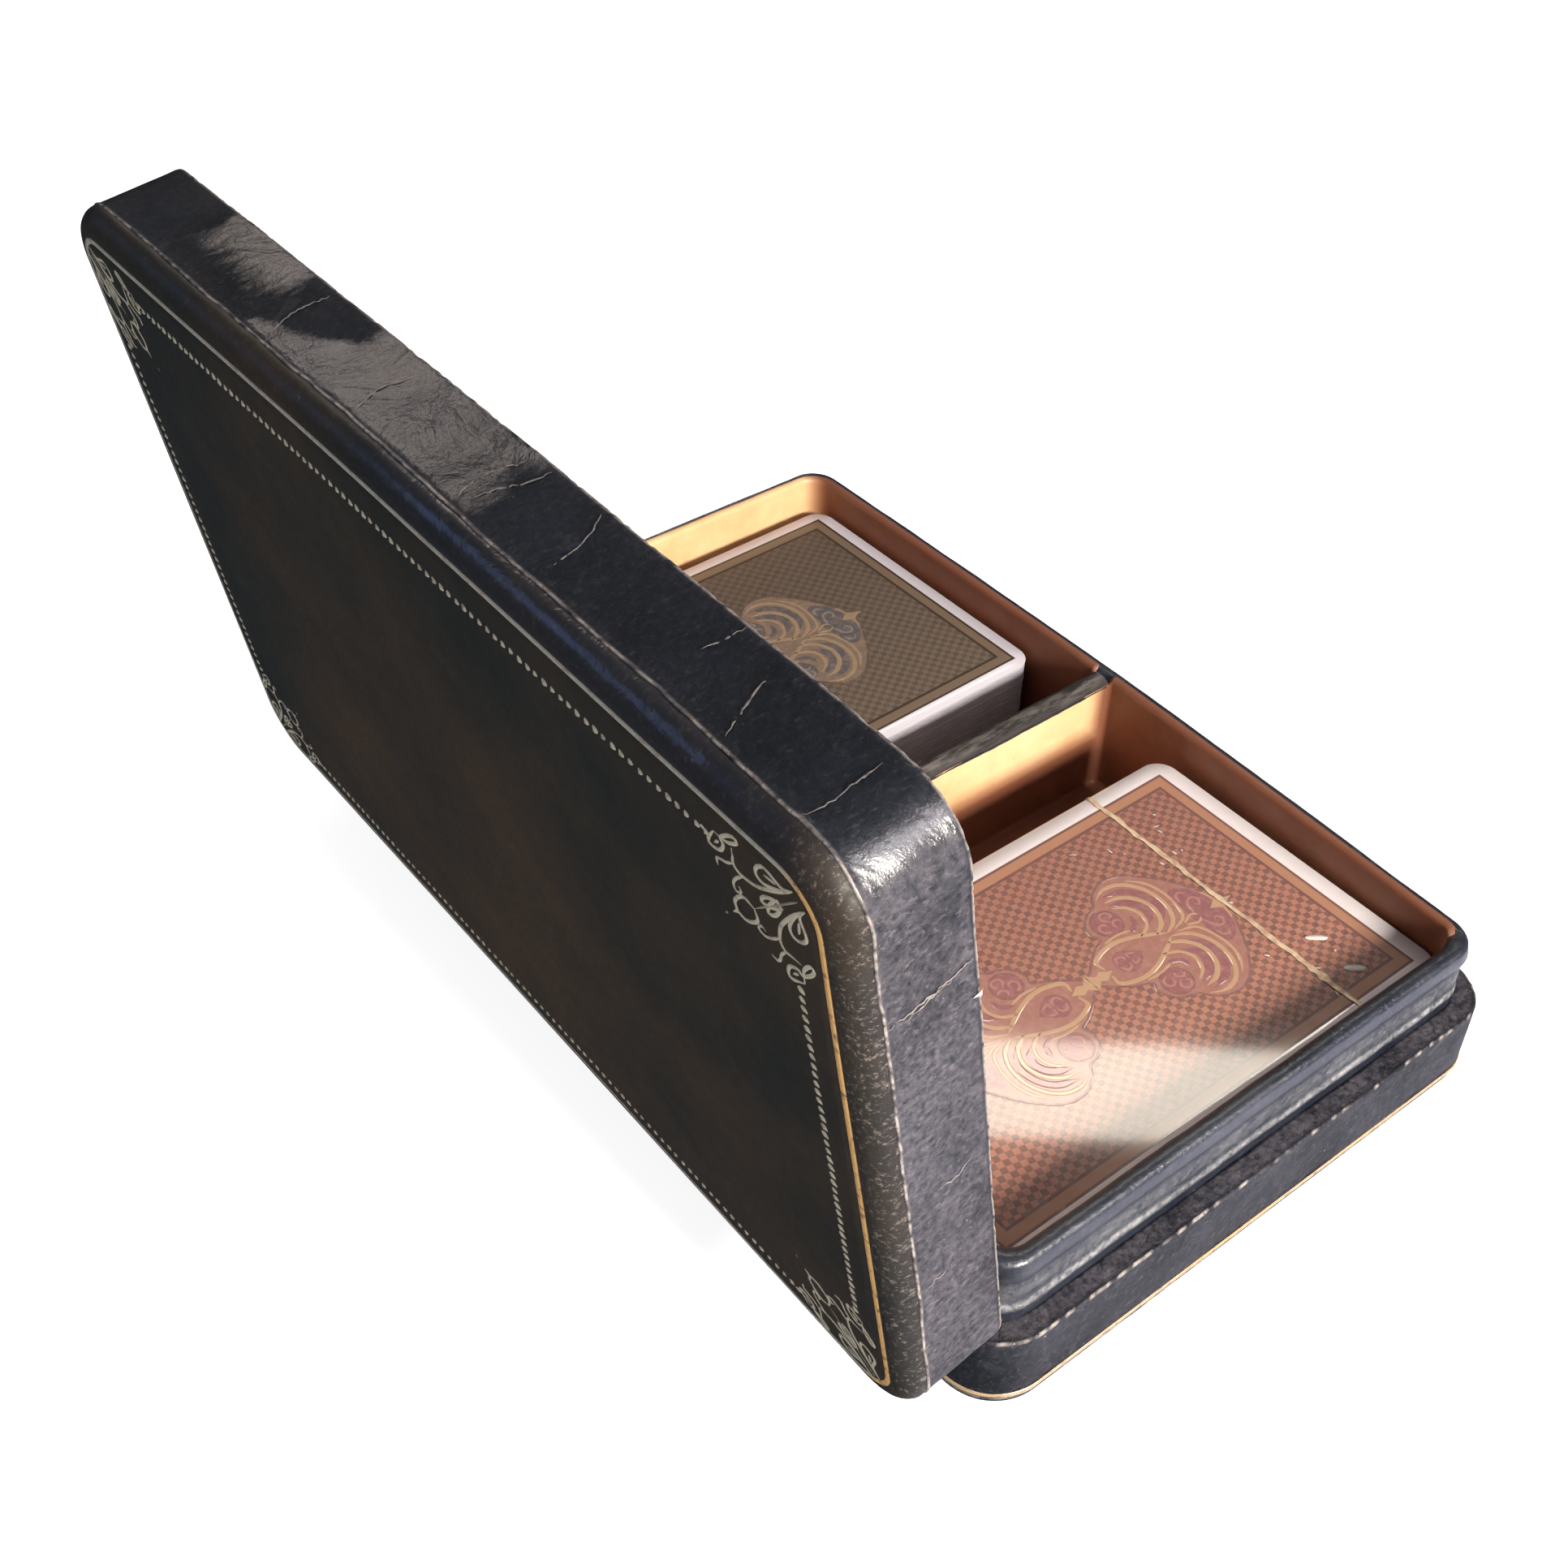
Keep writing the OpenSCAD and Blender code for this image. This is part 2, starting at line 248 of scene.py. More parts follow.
def smooth_path(points, step):
    """Catmull-Rom curve through 2D points, sampled about every step."""
    p = np.asarray(points, float)
    ends = [2 * p[0] - p[1], *p, 2 * p[-1] - p[-2]]
    path = []
    for a, b, c, d in zip(ends, ends[1:], ends[2:], ends[3:]):
        count = max(2, int(np.linalg.norm(c - b) / step))
        for t in np.arange(count) / count:
            path.append(0.5 * (2 * b + (c - a) * t + (2 * a - 5 * b + 4 * c - d) * t ** 2
                               + (3 * b - a - 3 * c + d) * t ** 3))
    return np.array([*path, p[-1]])


class Flatwork:
    """Collects thin ribbons, patches and drops drawn in a plane, then lays them on a surface."""

    def __init__(self):
        self.verts, self.faces, self.inks = [], [], []

    def _put(self, points, faces, ink):
        start = len(self.verts)
        self.verts += [tuple(p) for p in points]
        self.faces += [tuple(start + i for i in f) for f in faces]
        self.inks += [ink] * len(points)

    def ribbon(self, points, width, height=0.05, taper=(0.35, 0.2), ink=(0, 0, 0), step=0.35):
        path = smooth_path(points, step)
        along = np.gradient(path, axis=0)
        along /= np.maximum(np.linalg.norm(along, axis=1), 1e-9)[:, None]
        side = np.column_stack([-along[:, 1], along[:, 0]])
        t = np.linspace(0, 1, len(path))
        w = width / 2 * np.minimum(1, np.minimum(taper[0] + t * 5, taper[1] + (1 - t) * 5))
        rows = []
        for k, up in ((-1.0, 0.0), (-0.6, height), (0.6, height), (1.0, 0.0)):
            rows.append(np.column_stack([path + side * (w * k)[:, None], np.full(len(path), up)]))
        grid = np.stack(rows, axis=1).reshape(-1, 3)
        self._put(grid, grid_faces(len(path), 4), ink)

    def patch(self, points, height=0.02, ink=(0, 0, 0), step=0.4):
        path = smooth_path(points, step)
        flat = np.column_stack([path, np.full(len(path), height)])
        area = np.sum(path[:, 0] * np.roll(path[:, 1], -1) - np.roll(path[:, 0], -1) * path[:, 1])
        order = range(len(path)) if area > 0 else range(len(path) - 1, -1, -1)
        self._put(flat, [tuple(order)], ink)

    def drop(self, x, y, angle, length, width, height=0.06, ink=(0, 0, 0)):
        """Small domed teardrop, pointed at its far end."""
        rim, count = [], 10
        for i in range(count):
            a = 2 * math.pi * i / count
            along = length / 2 * math.cos(a)
            across = width / 2 * math.sin(a) * (1 - 0.45 * math.cos(a))
            rim.append((x + along * math.cos(angle) - across * math.sin(angle),
                        y + along * math.sin(angle) + across * math.cos(angle), 0.0))
        points = [*rim, (x, y, height)]
        self._put(points, [(i, (i + 1) % count, count) for i in range(count)], ink)

    def build(self, name, lay, mirrors=((1, 1),), transpose=False):
        """lay turns (n, 3) plane points into the row frame. mirrors are sign pairs for x and y."""
        base = np.array(self.verts, float)
        verts, faces, inks = [], [], []
        turns = (False, True) if transpose else (False,)
        for sx, sy in mirrors:
            for swap in turns:
                pts = base[:, [1, 0, 2]] if swap else base.copy()
                pts = pts * (sx, sy, 1)
                flip = (sx * sy < 0) != swap
                start = len(verts)
                verts += list(pts)
                faces += [tuple(start + i for i in (f[::-1] if flip else f)) for f in self.faces]
                inks += self.inks
        obj = new_object(name, lay(np.array(verts)), faces)
        colour = obj.data.attributes.new("ink", "FLOAT_COLOR", "POINT")
        colour.data.foreach_set("color", np.array([(*c, 1) for c in inks], float).ravel())
        return obj


# ---- materials ---------------------------------------------------------------------------
class Nodes:
    """Short way to write the node tree of a new material or world."""

    def __init__(self, name, kind="materials"):
        self.owner = getattr(bpy.data, kind).new(name)
        self.owner.use_nodes = True
        self.tree = self.owner.node_tree
        self.shader = self.tree.nodes.get("Principled BSDF")

    def add(self, kind, inputs=None, **properties):
        node = self.tree.nodes.new(kind)
        for key, value in properties.items():
            setattr(node, key, value)
        for key, value in (inputs or {}).items():
            self.put(node.inputs[key], value)
        return node

    def put(self, socket, value):
        if isinstance(value, bpy.types.NodeSocket):
            self.tree.links.new(value, socket)
        elif isinstance(value, tuple) and len(value) == 3 and socket.type == "RGBA":
            socket.default_value = (*value, 1)
        else:
            socket.default_value = value

    def set(self, **values):
        for key, value in values.items():
            self.put(self.shader.inputs[key.replace("_", " ")], value)

    def coords(self, scale=(1, 1, 1)):
        texture = self.add("ShaderNodeTexCoord")
        mapping = self.add("ShaderNodeMapping", {"Scale": scale})
        self.tree.links.new(texture.outputs["Object"], mapping.inputs["Vector"])
        return mapping.outputs["Vector"]

    def noise(self, size_mm, detail=4, rough=0.55, scale=(1, 1, 1), distortion=0.0):
        return self.add("ShaderNodeTexNoise", {
            "Vector": self.coords(scale), "Scale": 1 / (size_mm * MM), "Detail": detail,
            "Roughness": rough, "Distortion": distortion}).outputs["Fac"]

    def voronoi(self, size_mm, feature="F1"):
        return self.add("ShaderNodeTexVoronoi", {
            "Vector": self.coords(), "Scale": 1 / (size_mm * MM)}, feature=feature).outputs["Distance"]

    def ramp(self, fac, low, high, out_low=0.0, out_high=1.0):
        return self.add("ShaderNodeMapRange", {
            "Value": fac, "From Min": low, "From Max": high, "To Min": out_low,
            "To Max": out_high}).outputs["Result"]

    def math(self, operation, a, b=0.0):
        return self.add("ShaderNodeMath", {0: a, 1: b}, operation=operation).outputs[0]

    def mix(self, fac, a, b):
        node = self.add("ShaderNodeMix", data_type="RGBA")
        self.put(node.inputs[0], fac)
        self.put(node.inputs[6], a)
        self.put(node.inputs[7], b)
        return node.outputs[2]

    def attribute(self, name, output="Fac"):
        return self.add("ShaderNodeAttribute", attribute_name=name).outputs[output]

    def bump(self, height, distance_mm, strength=1.0, normal=None):
        inputs = {"Height": height, "Distance": distance_mm * MM, "Strength": strength}
        if normal is not None:
            inputs["Normal"] = normal
        return self.add("ShaderNodeBump", inputs).outputs["Normal"]


def leather(name, dark, light, worn, rough, grain=0.05, crease=0.12, coat=0.25, specular=0.5,
            raw=(0.42, 0.36, 0.32), cloud_mm=22, speck=0.5, scratch=(0.13, 0.12, 0.125)):
    """Dyed leather: grain, creases, dye clouding, specks, scratches, worn ridges, raw edges and
    a painted blue reflection. On the lid's top the clouding is partly a painted brown reflection.
    """
    m = Nodes(name)
    colour = m.mix(m.ramp(m.noise(cloud_mm, 5), 0.38, 0.66), dark, light)
    streak = m.ramp(m.noise(7, 6, 0.65, distortion=0.8), 0.6, 0.78)
    colour = m.mix(m.math("MULTIPLY", streak, 0.22), colour, worn)
    # painted reflection: a navy tint where the attribute is set, for bluish light reflected off the edge band
    colour = m.mix(m.attribute("painted_blue_reflection"), colour, (0.006, 0.0095, 0.019))
    specks = m.ramp(m.voronoi(2.6), 0.0, 0.07, 1.0, 0.0)
    specks = m.math("MULTIPLY", specks, m.ramp(m.noise(4.1, 2), 0.56, 0.64))
    colour = m.mix(m.math("MULTIPLY", specks, speck), colour, (0.5, 0.46, 0.44))
    wear = m.attribute("wear")
    edge = m.math("MULTIPLY", wear, m.ramp(m.noise(1.1, 6, 0.7), 0.3, 0.7))
    edge = m.math("MULTIPLY", edge, m.ramp(m.noise(11, 4), 0.34, 0.64, 0.45, 1.15))
    colour = m.mix(edge, colour, worn)
    scuff = m.ramp(m.noise(0.55, 5, 0.8, scale=(1.0, 0.5, 0.8)), 0.54, 0.66)
    scuff = m.math("MULTIPLY", scuff, m.math("ADD", m.math("MULTIPLY", wear, 0.9), 0.12 * speck))
    colour = m.mix(scuff, colour, scratch)
    cut = m.math("MULTIPLY", m.attribute("raw"), m.ramp(m.noise(0.9, 5, 0.7), 0.32, 0.5))
    colour = m.mix(cut, colour, raw)
    pebble = m.voronoi(0.75, "SMOOTH_F1")
    fine = m.noise(0.3, 4, 0.7)
    height = m.math("ADD", m.math("MULTIPLY", pebble, 0.6), m.math("MULTIPLY", fine, 0.8))
    normal = m.bump(height, grain, 0.8)
    normal = m.bump(m.noise(5, 5, 0.65, distortion=0.6), crease * 2.5, 0.7, normal)
    roughness = m.ramp(m.noise(9, 5), 0.3, 0.7, rough - 0.07, rough + 0.1)
    roughness = m.math("ADD", roughness, m.math("MULTIPLY", m.math("MAXIMUM", edge, cut), 0.4))
    m.set(Base_Color=colour, Roughness=roughness, Normal=normal, Coat_Roughness=0.1,
          Specular_IOR_Level=specular)
    if coat:
        ragged = m.math("MULTIPLY", m.noise(3, 6, 0.85, scale=(1.8, 0.7, 0.7), distortion=0.9), 1.5)
        m.set(Coat_Weight=m.ramp(m.math("ADD", ragged, m.attribute("gloss")), 1.1, 1.55, 0.0, coat))
        folds = m.bump(m.noise(9, 5, 0.6, distortion=0.7), 0.45, 0.9, m.bump(height, grain * 0.35, 0.8))
        m.put(m.shader.inputs["Coat Normal"], folds)
    return m.owner


def tan_lining(name):
    """Thin tan leather lining with stains, faint wrinkles and painted shade where the shade attribute is set.
    """
    m = Nodes(name)
    colour = m.mix(m.ramp(m.noise(14, 5), 0.3, 0.72), (0.62, 0.36, 0.18), (0.80, 0.56, 0.33))
    # painted shade: deep red where a wall lies in shadow
    colour = m.mix(m.math("MULTIPLY", m.attribute("shade"), 0.93), colour, (0.14, 0.036, 0.019))
    stains = m.ramp(m.noise(3.2, 5, 0.7), 0.62, 0.8)
    colour = m.mix(m.math("MULTIPLY", stains, 0.55), colour, (0.25, 0.075, 0.03))
    normal = m.bump(m.noise(0.5, 4), 0.03, 0.6)
    normal = m.bump(m.noise(6, 3), 0.35, 0.5, normal)
    m.set(Base_Color=colour, Roughness=m.ramp(m.noise(5, 4), 0.3, 0.7, 0.38, 0.6), Normal=normal,
          Specular_IOR_Level=0.45)
    return m.owner


def gold(name, bright, tarnish, rough=0.3, metal=0.85, silver=None, flake=(0.42, 0.68)):
    """Gilding with tarnish; where the silver attribute is 1 the line is coloured pale grey."""
    m = Nodes(name)
    age = m.ramp(m.noise(1.6, 5, 0.7), *flake)
    colour = m.mix(age, bright, tarnish)
    if silver:
        pale = m.mix(m.math("MULTIPLY", age, 0.6), silver, tarnish)
        colour = m.mix(m.attribute("silver"), colour, pale)
    m.set(Base_Color=colour, Metallic=metal, Roughness=m.ramp(age, 0, 1, rough, rough + 0.25),
          Normal=m.bump(m.noise(0.5, 4), 0.03, 0.7))
    return m.owner


def board(name):
    m = Nodes(name)
    colour = m.mix(m.noise(1.5, 5, 0.7), (0.36, 0.27, 0.17), (0.52, 0.41, 0.28))
    m.set(Base_Color=colour, Roughness=0.85, Normal=m.bump(m.noise(0.6, 4), 0.08))
    return m.owner


def card_edge(name, light, dark):
    """White card edges, with painted shade in the gaps between the cards."""
    m = Nodes(name)
    colour = m.mix(m.ramp(m.attribute("gap"), 0, 1), light, dark)
    colour = m.mix(m.ramp(m.noise(4, 3, scale=(1, 1, 6)), 0.4, 0.7, 0, 0.5), colour, dark)
    m.set(Base_Color=colour, Roughness=0.55)
    return m.owner


def card_print(name, border, line, band, light, dark, coat, crinkle, grow):
    """Back of a card in its own coordinates: white border, framed band, woven lattice, and
    painted shade that darkens the print towards the card's +X edge.
    """
    m = Nodes(name)
    place = m.attribute("card", "Vector")
    split = m.add("ShaderNodeSeparateXYZ", {0: place})
    across = m.math("ABSOLUTE", split.outputs["X"])
    along = m.math("ABSOLUTE", split.outputs["Y"])
    depth = m.math("MAXIMUM", m.math("SUBTRACT", across, PRINT_X + grow),
                   m.math("SUBTRACT", along, PRINT_Y + grow))
    turned = m.add("ShaderNodeMapping", {"Vector": place, "Location": (0.11, 0.23, 0.5),
                                         "Rotation": (0, 0, math.radians(LATTICE_TURN))})
    weave = m.add("ShaderNodeTexChecker", {
        "Vector": turned.outputs["Vector"], "Scale": 1 / LATTICE_MM, "Color1": light, "Color2": dark})
    cloudy = m.ramp(m.noise(2.2, 3, 0.6), 0.35, 0.65)
    ink = m.mix(m.math("MULTIPLY", cloudy, 0.35), weave.outputs["Color"], light)
    # painted shade: the print darkens steadily towards the card's +X edge
    print_painted_shade = m.ramp(split.outputs["X"], -26, 26)
    ink = m.mix(m.math("MULTIPLY", print_painted_shade, 0.35), ink, line)

    def step(at):
        return m.ramp(depth, at - 0.05, at + 0.05)

    colour = m.mix(step(-2.6), ink, line)
    colour = m.mix(step(-2.1), colour, band)
    colour = m.mix(step(-0.45), colour, line)
    colour = m.mix(step(0.0), colour, border)
    normal = m.bump(m.noise(9, 4, 0.6, distortion=0.5), crinkle, 0.8)
    normal = m.bump(m.noise(1.2, 3, 0.6), crinkle * 0.12, 0.8, normal)
    m.set(Base_Color=colour, Roughness=0.42, Normal=normal, Coat_Weight=coat, Coat_Roughness=0.05,
          Specular_IOR_Level=0.3)
    return m.owner


def print_ink(name, coat, crinkle):
    """Ornament inks, from the colour carried by each shape."""
    m = Nodes(name)
    ink = m.attribute("ink", "Color")
    faded = m.mix(m.ramp(m.noise(1.4, 4, 0.7), 0.45, 0.75, 0, 0.3), ink, (0.5, 0.28, 0.2))
    normal = m.bump(m.noise(9, 4, 0.6, distortion=0.5), crinkle, 0.8)
    m.set(Base_Color=faded, Roughness=0.42, Normal=normal, Coat_Weight=coat, Coat_Roughness=0.05)
    return m.owner


def clear_film(name, alpha, colour=(0.9, 0.88, 0.82)):
    m = Nodes(name)
    normal = m.bump(m.noise(6, 5, 0.6, distortion=1.0), 0.25, 0.9)
    m.set(Base_Color=m.mix(m.noise(8, 3), colour, (0.95, 0.95, 0.93)), Roughness=0.12,
          Normal=normal, Alpha=alpha, Specular_IOR_Level=0.6)
    return m.owner


def worn_cloth(name):
    """Fibrous dark leather of the divider, rubbed grey along the top; the grey crest is partly
    a painted highlight.
    """
    m = Nodes(name)
    fibre = m.noise(1.1, 6, 0.75, scale=(3.0, 0.3, 1.5))
    colour = m.mix(m.ramp(fibre, 0.4, 0.72), (0.007, 0.005, 0.005), (0.034, 0.027, 0.025))
    # grey crest: partly real rubbing and partly a painted highlight
    rub = m.math("MULTIPLY", m.attribute("wear"), m.ramp(m.noise(2.4, 5, 0.7, scale=(2, 0.35, 1)), 0.4, 0.62))
    colour = m.mix(rub, colour, (0.19, 0.165, 0.155))
    normal = m.bump(fibre, 0.25, 0.9)
    m.set(Base_Color=colour, Roughness=0.75, Normal=normal)
    return m.owner


MATERIALS = {
    # the top's brown clouding is partly the leather's own tone and partly a painted brown reflection
    "lid_top": leather("top_leather", (0.0115, 0.0138, 0.0132), (0.034, 0.022, 0.0135),
                       (0.0125, 0.0115, 0.0125), 0.42, grain=0.012, crease=0.012, coat=0.5,
                       specular=0.3, cloud_mm=48, speck=0.2, scratch=(0.15, 0.125, 0.11)),
    "side": leather("side_leather", (0.0022, 0.0040, 0.0072), (0.0055, 0.0090, 0.015),
                    (0.15, 0.135, 0.165), 0.46, grain=0.13, crease=0.1, coat=0.75, specular=0.16,
                    raw=(0.46, 0.40, 0.38), speck=0.85),
    "collar": leather("collar_leather", (0.007, 0.010, 0.020), (0.022, 0.026, 0.040),
                      (0.33, 0.325, 0.34), 0.3, grain=0.13, crease=0.07, coat=0.6,
                      scratch=(0.26, 0.26, 0.28)),
    "hinge": leather("hinge_leather", (0.004, 0.004, 0.006), (0.012, 0.012, 0.014),
                     (0.06, 0.05, 0.04), 0.45),
    "divider": worn_cloth("divider_cloth"),
    "lining": tan_lining("tan_lining"),
    "gold_line": gold("gold_line", (0.62, 0.37, 0.14), (0.16, 0.085, 0.045), 0.35, 0.35,
                      (0.34, 0.33, 0.30), (0.52, 0.66)),
    "gold_tooling": gold("gold_tooling", (0.40, 0.37, 0.30), (0.15, 0.115, 0.075), 0.4, 0.3,
                         flake=(0.5, 0.72)),
    "board": board("greyboard"),
    "red_edge": card_edge("card_edges", (0.80, 0.76, 0.76), (0.42, 0.36, 0.38)),
    # far deck: its white card edges are painted grey as shade
    "shaded_card_edge": card_edge("card_edges_shaded", (0.62, 0.62, 0.70), (0.42, 0.39, 0.43)),
    "red_back": card_print("red_card_back", (0.80, 0.74, 0.77), (0.13, 0.022, 0.018),
                           (0.38, 0.155, 0.075), (0.40, 0.140, 0.080), (0.125, 0.030, 0.02), 1.0, 0.16, 0.3),
    # far deck: its white border is painted grey as shade; its print colours are partly its own tone and
    # partly painted shade
    "shaded_grey_back": card_print("grey_card_back", (0.62, 0.59, 0.66), (0.035, 0.021, 0.015),
                            (0.16, 0.11, 0.075), (0.145, 0.104, 0.078), (0.082, 0.059, 0.044),
                            0.25, 0.08, 1.0),
    "red_ink": print_ink("red_ornament", 1.0, 0.16),
    "grey_ink": print_ink("grey_ornament", 0.25, 0.08),
    "film": clear_film("clear_wrap", 0.06),
    "film_fold": clear_film("clear_wrap_folds", 0.45),
    "crease": clear_film("film_creases", 0.6),
    "tear_strip": gold("tear_strip", (0.62, 0.47, 0.32), (0.40, 0.24, 0.16), 0.35, 0.2),
}


def paint(obj, material):
    obj.data.materials.clear()
    obj.data.materials.append(MATERIALS[material])


# ---- lid ---------------------------------------------------------------------------------
def lid_crown(x, y):
    """Height of the padded top over its edge, zero along the edge."""
    ax = np.clip(HALF_X - np.abs(x), 0, None)
    ay = np.clip(HALF_Y - np.abs(y), 0, None)
    return LID_CROWN * (1 - np.exp(-ax / 11)) * (1 - np.exp(-ay / 11))


def dent(distance, width, depth):
    return -depth * np.exp(-(distance / width) ** 2)


def lid_top_height(points, inset):
    z = LID_TOP_Z + lid_crown(points[:, 0], points[:, 1]) * min(1, max(0, (inset - 2.5) / 2))
    z += 0.12 * noise_at(np.column_stack([points, np.zeros(len(points))]), 34, 1)
    return z + dent(inset - GOLD_INSET, 0.6, 0.14)


def build_lid_top():
    rings, wear = [], []
    for inset, z in [(0.9, LID_SEAM_Z - 2.2), (0.45, LID_SEAM_Z - 2.2), (0.3, LID_SEAM_Z - 1.0),
                     (0.1, LID_SEAM_Z - 0.2)]:
        rings.append(at_height(case_line(inset), z))
        wear.append(0.8)
    arc_steps = 12
    for i in range(arc_steps + 1):
        a = math.radians(90 * i / arc_steps)
        line = case_line(EDGE_R * (1 - math.cos(a)))
        z = LID_TOP_Z - EDGE_R + EDGE_R * math.sin(a)
        ring = at_height(line, z)
        if i == arc_steps:
            ring[:, 2] = lid_top_height(ring[:, :2], EDGE_R)
        rings.append(ring)
        wear.append(0.75 - 0.3 * i / arc_steps)
    insets = [3.1, 3.3, 3.5, 3.7, 3.9, 4.2, 4.6, 5.2, 6, 7, 8, 9.5, 11, 13, 15, 18, 21, 25, 30, 36, 42, 48.5]
    for inset in insets:
        ring = at_height(case_line(inset), 0)
        ring[:, 2] = lid_top_height(ring[:, :2], inset)
        rings.append(ring)
        wear.append(max(0.0, 0.25 - (inset - 3) * 0.12))
    rings = np.array(rings)
    count = rings.shape[1]
    wear = np.repeat(wear, count)
    flat = rings.reshape(-1, 3)
    lump = noise_at(flat, 3.0, 2) * 0.10 + noise_at(flat, 1.1, 3) * 0.05
    push_out(flat, case_line(0)[1], lump * np.clip(wear - 0.25, 0, 1) * 1.6)
    near_end = np.clip((-flat[:, 0] - HALF_X + 9) / 6, 0, 1)
    wear = wear * (0.25 + 1.1 * near_end)
    obj = loft("lid_top_panel", opened(flat).reshape(rings.shape), cap_last=True)
    point_attribute(obj, "wear", wear)
    inset_of = np.repeat(np.arange(len(rings)) < arc_steps + 6, count)
    toward_near = np.clip((14 - flat[:, 0]) / 26, 0, 1)
    point_attribute(obj, "gloss", 0.75 * inset_of * np.maximum(toward_near, 0.2)
                    * (flat[:, 0] > 20 - HALF_X))
    # painted blue reflection on the near half of the edge band
    point_attribute(obj, "painted_blue_reflection", 0.65 * inset_of * toward_near * (1 - near_end))
    paint(obj, "lid_top")
    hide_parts("lid_top_leather")
    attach(obj, "lid")
    return obj


def wavy_top(points, seam_z, amount):
    return seam_z + amount * (noise_at(points, 16, 4) + 0.5 * noise_at(points, 4, 5)
                              + 0.25 * noise_at(points, 1.5, 6))


def polish(points):
    """Where the strip is still glossy: two patches of the front side and the near corner."""
    x, y, z = points.T
    x = x + 3 * noise_at(points, 6, 35)

    def between(v, low, high, soft):
        return np.clip((v - low) / soft, 0, 1) * np.clip((high - v) / soft, 0, 1)

    front = np.clip((-y - HALF_Y + 3.5) / 2, 0, 1)
    tall = np.clip((z - 18) / 7, 0, 1)
    patches = between(x, -18, 22 + 14 * tall, 6) + 0.85 * between(x, 33, 60, 5) * (1 - tall)
    corner = between(x, -HALF_X - 1, -HALF_X + 11, 3) * between(-y, HALF_Y - 9, HALF_Y + 3, 3)
    return np.clip(front * patches + corner, 0, 1)


def build_side_strip(name, rim_z, seam_z, sign, inner_inset, place, node, body, frayed):
    """Leather strip round the walls. sign is +1 where the rim is at the bottom (the lid)."""
    line = case_line(0)
    base = at_height(line, 0)
    out = line[1]
    edge_z = wavy_top(base, seam_z, 0.3)
    thick = 0.38
    nicks = 0.6 * frayed * np.clip(noise_at(base, 0.8, 31) - 0.1, 0, 0.5)
    sparse = np.clip((noise_at(base, 1.0, 32) - (0.05 if frayed > 0.9 else -0.5)) * 4, 0, 1)
    rings, wear, raw = [], [], []

    def add(inset, z, w, r=0.0, cut_edge=False):
        pts = np.column_stack([case_line(max(inset, 0))[0], np.broadcast_to(z, len(base))])
        if inset < 0:
            pts[:, :2] -= out * inset
        rings.append(pts)
        wear.append(np.full(len(base), w))
        raw.append(r * sparse if cut_edge else np.full(len(base), r))

    ledge = inner_inset - 0.55
    add(inner_inset, rim_z + sign * 0.5, 0.0)
    for t in (0.0, 0.2, 0.4, 0.6, 0.8):
        inset = inner_inset - ledge * t
        rough = noise_at(at_height(case_line(inset), 40 * t), 1.2, 30) * 0.15 * frayed
        # on the base's ledge the high wear is partly rubbing and partly painted light, lifting a ledge that
        # lies in shade
        add(inset, rim_z + sign * (0.08 + 0.25 * frayed * (1 - t) - rough), 0.75 if frayed > 0.9 else 0.12)
    add(0.42, rim_z + sign * nicks * 0.4, 0.2, 0.0)
    add(0.22, rim_z + sign * (nicks + 0.02), 0.3, 0.8, True)
    add(0.05, rim_z + sign * (nicks + 0.14), 0.3, 0.6, True)
    add(0.0, rim_z + sign * 0.5, 0.2, 0.0)
    levels = 14
    for i in range(levels + 1):
        t = i / levels
        z = (rim_z + sign * 0.9) * (1 - t) + (edge_z - sign * 0.5) * t
        rings.append(np.column_stack([base[:, :2] + out * 0.05 * t, z]))
        near_end = np.clip((-base[:, 0] - HALF_X + 5) / 4, 0, 1) * (1 if frayed < 0.9 else 0.2)
        wear.append(0.05 + 0.2 * max(0, t - 0.8) + 0.3 * max(0, 0.15 - t) + 0.48 * near_end)
        raw.append(np.zeros(len(base)))
    beaded = np.clip(0.55 + 1.6 * noise_at(base, 1.3, 36), 0.1, 0.9)
    add(-0.16, edge_z - sign * 0.28, 0.3, 0.1)
    add(-0.22, edge_z - sign * 0.1, 0.4, 0.7 * beaded)
    add(-0.08, edge_z + sign * 0.06, 0.4, 0.7 * beaded)
    add(thick * 0.6, edge_z + sign * 0.04, 0.4, 0.25)
    add(thick + 0.1, edge_z - sign * 0.8, 0.4)
    rings = np.array(rings)
    flat = rings.reshape(-1, 3)
    push_out(flat, out, 0.16 * noise_at(flat, 14, 7) + 0.07 * noise_at(flat, 3.5, 8))
    points = place(flat).reshape(rings.shape)
    turn = slice(None, None, sign)
    obj = loft(name, points[turn])
    point_attribute(obj, "wear", np.array(wear)[turn])
    point_attribute(obj, "raw", np.array(raw)[turn])
    gloss = polish(flat) if sign > 0 else np.full(len(flat), 0.3)
    point_attribute(obj, "gloss", gloss.reshape(rings.shape[:2])[turn])
    paint(obj, "side")
    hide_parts(node)
    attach(obj, body)


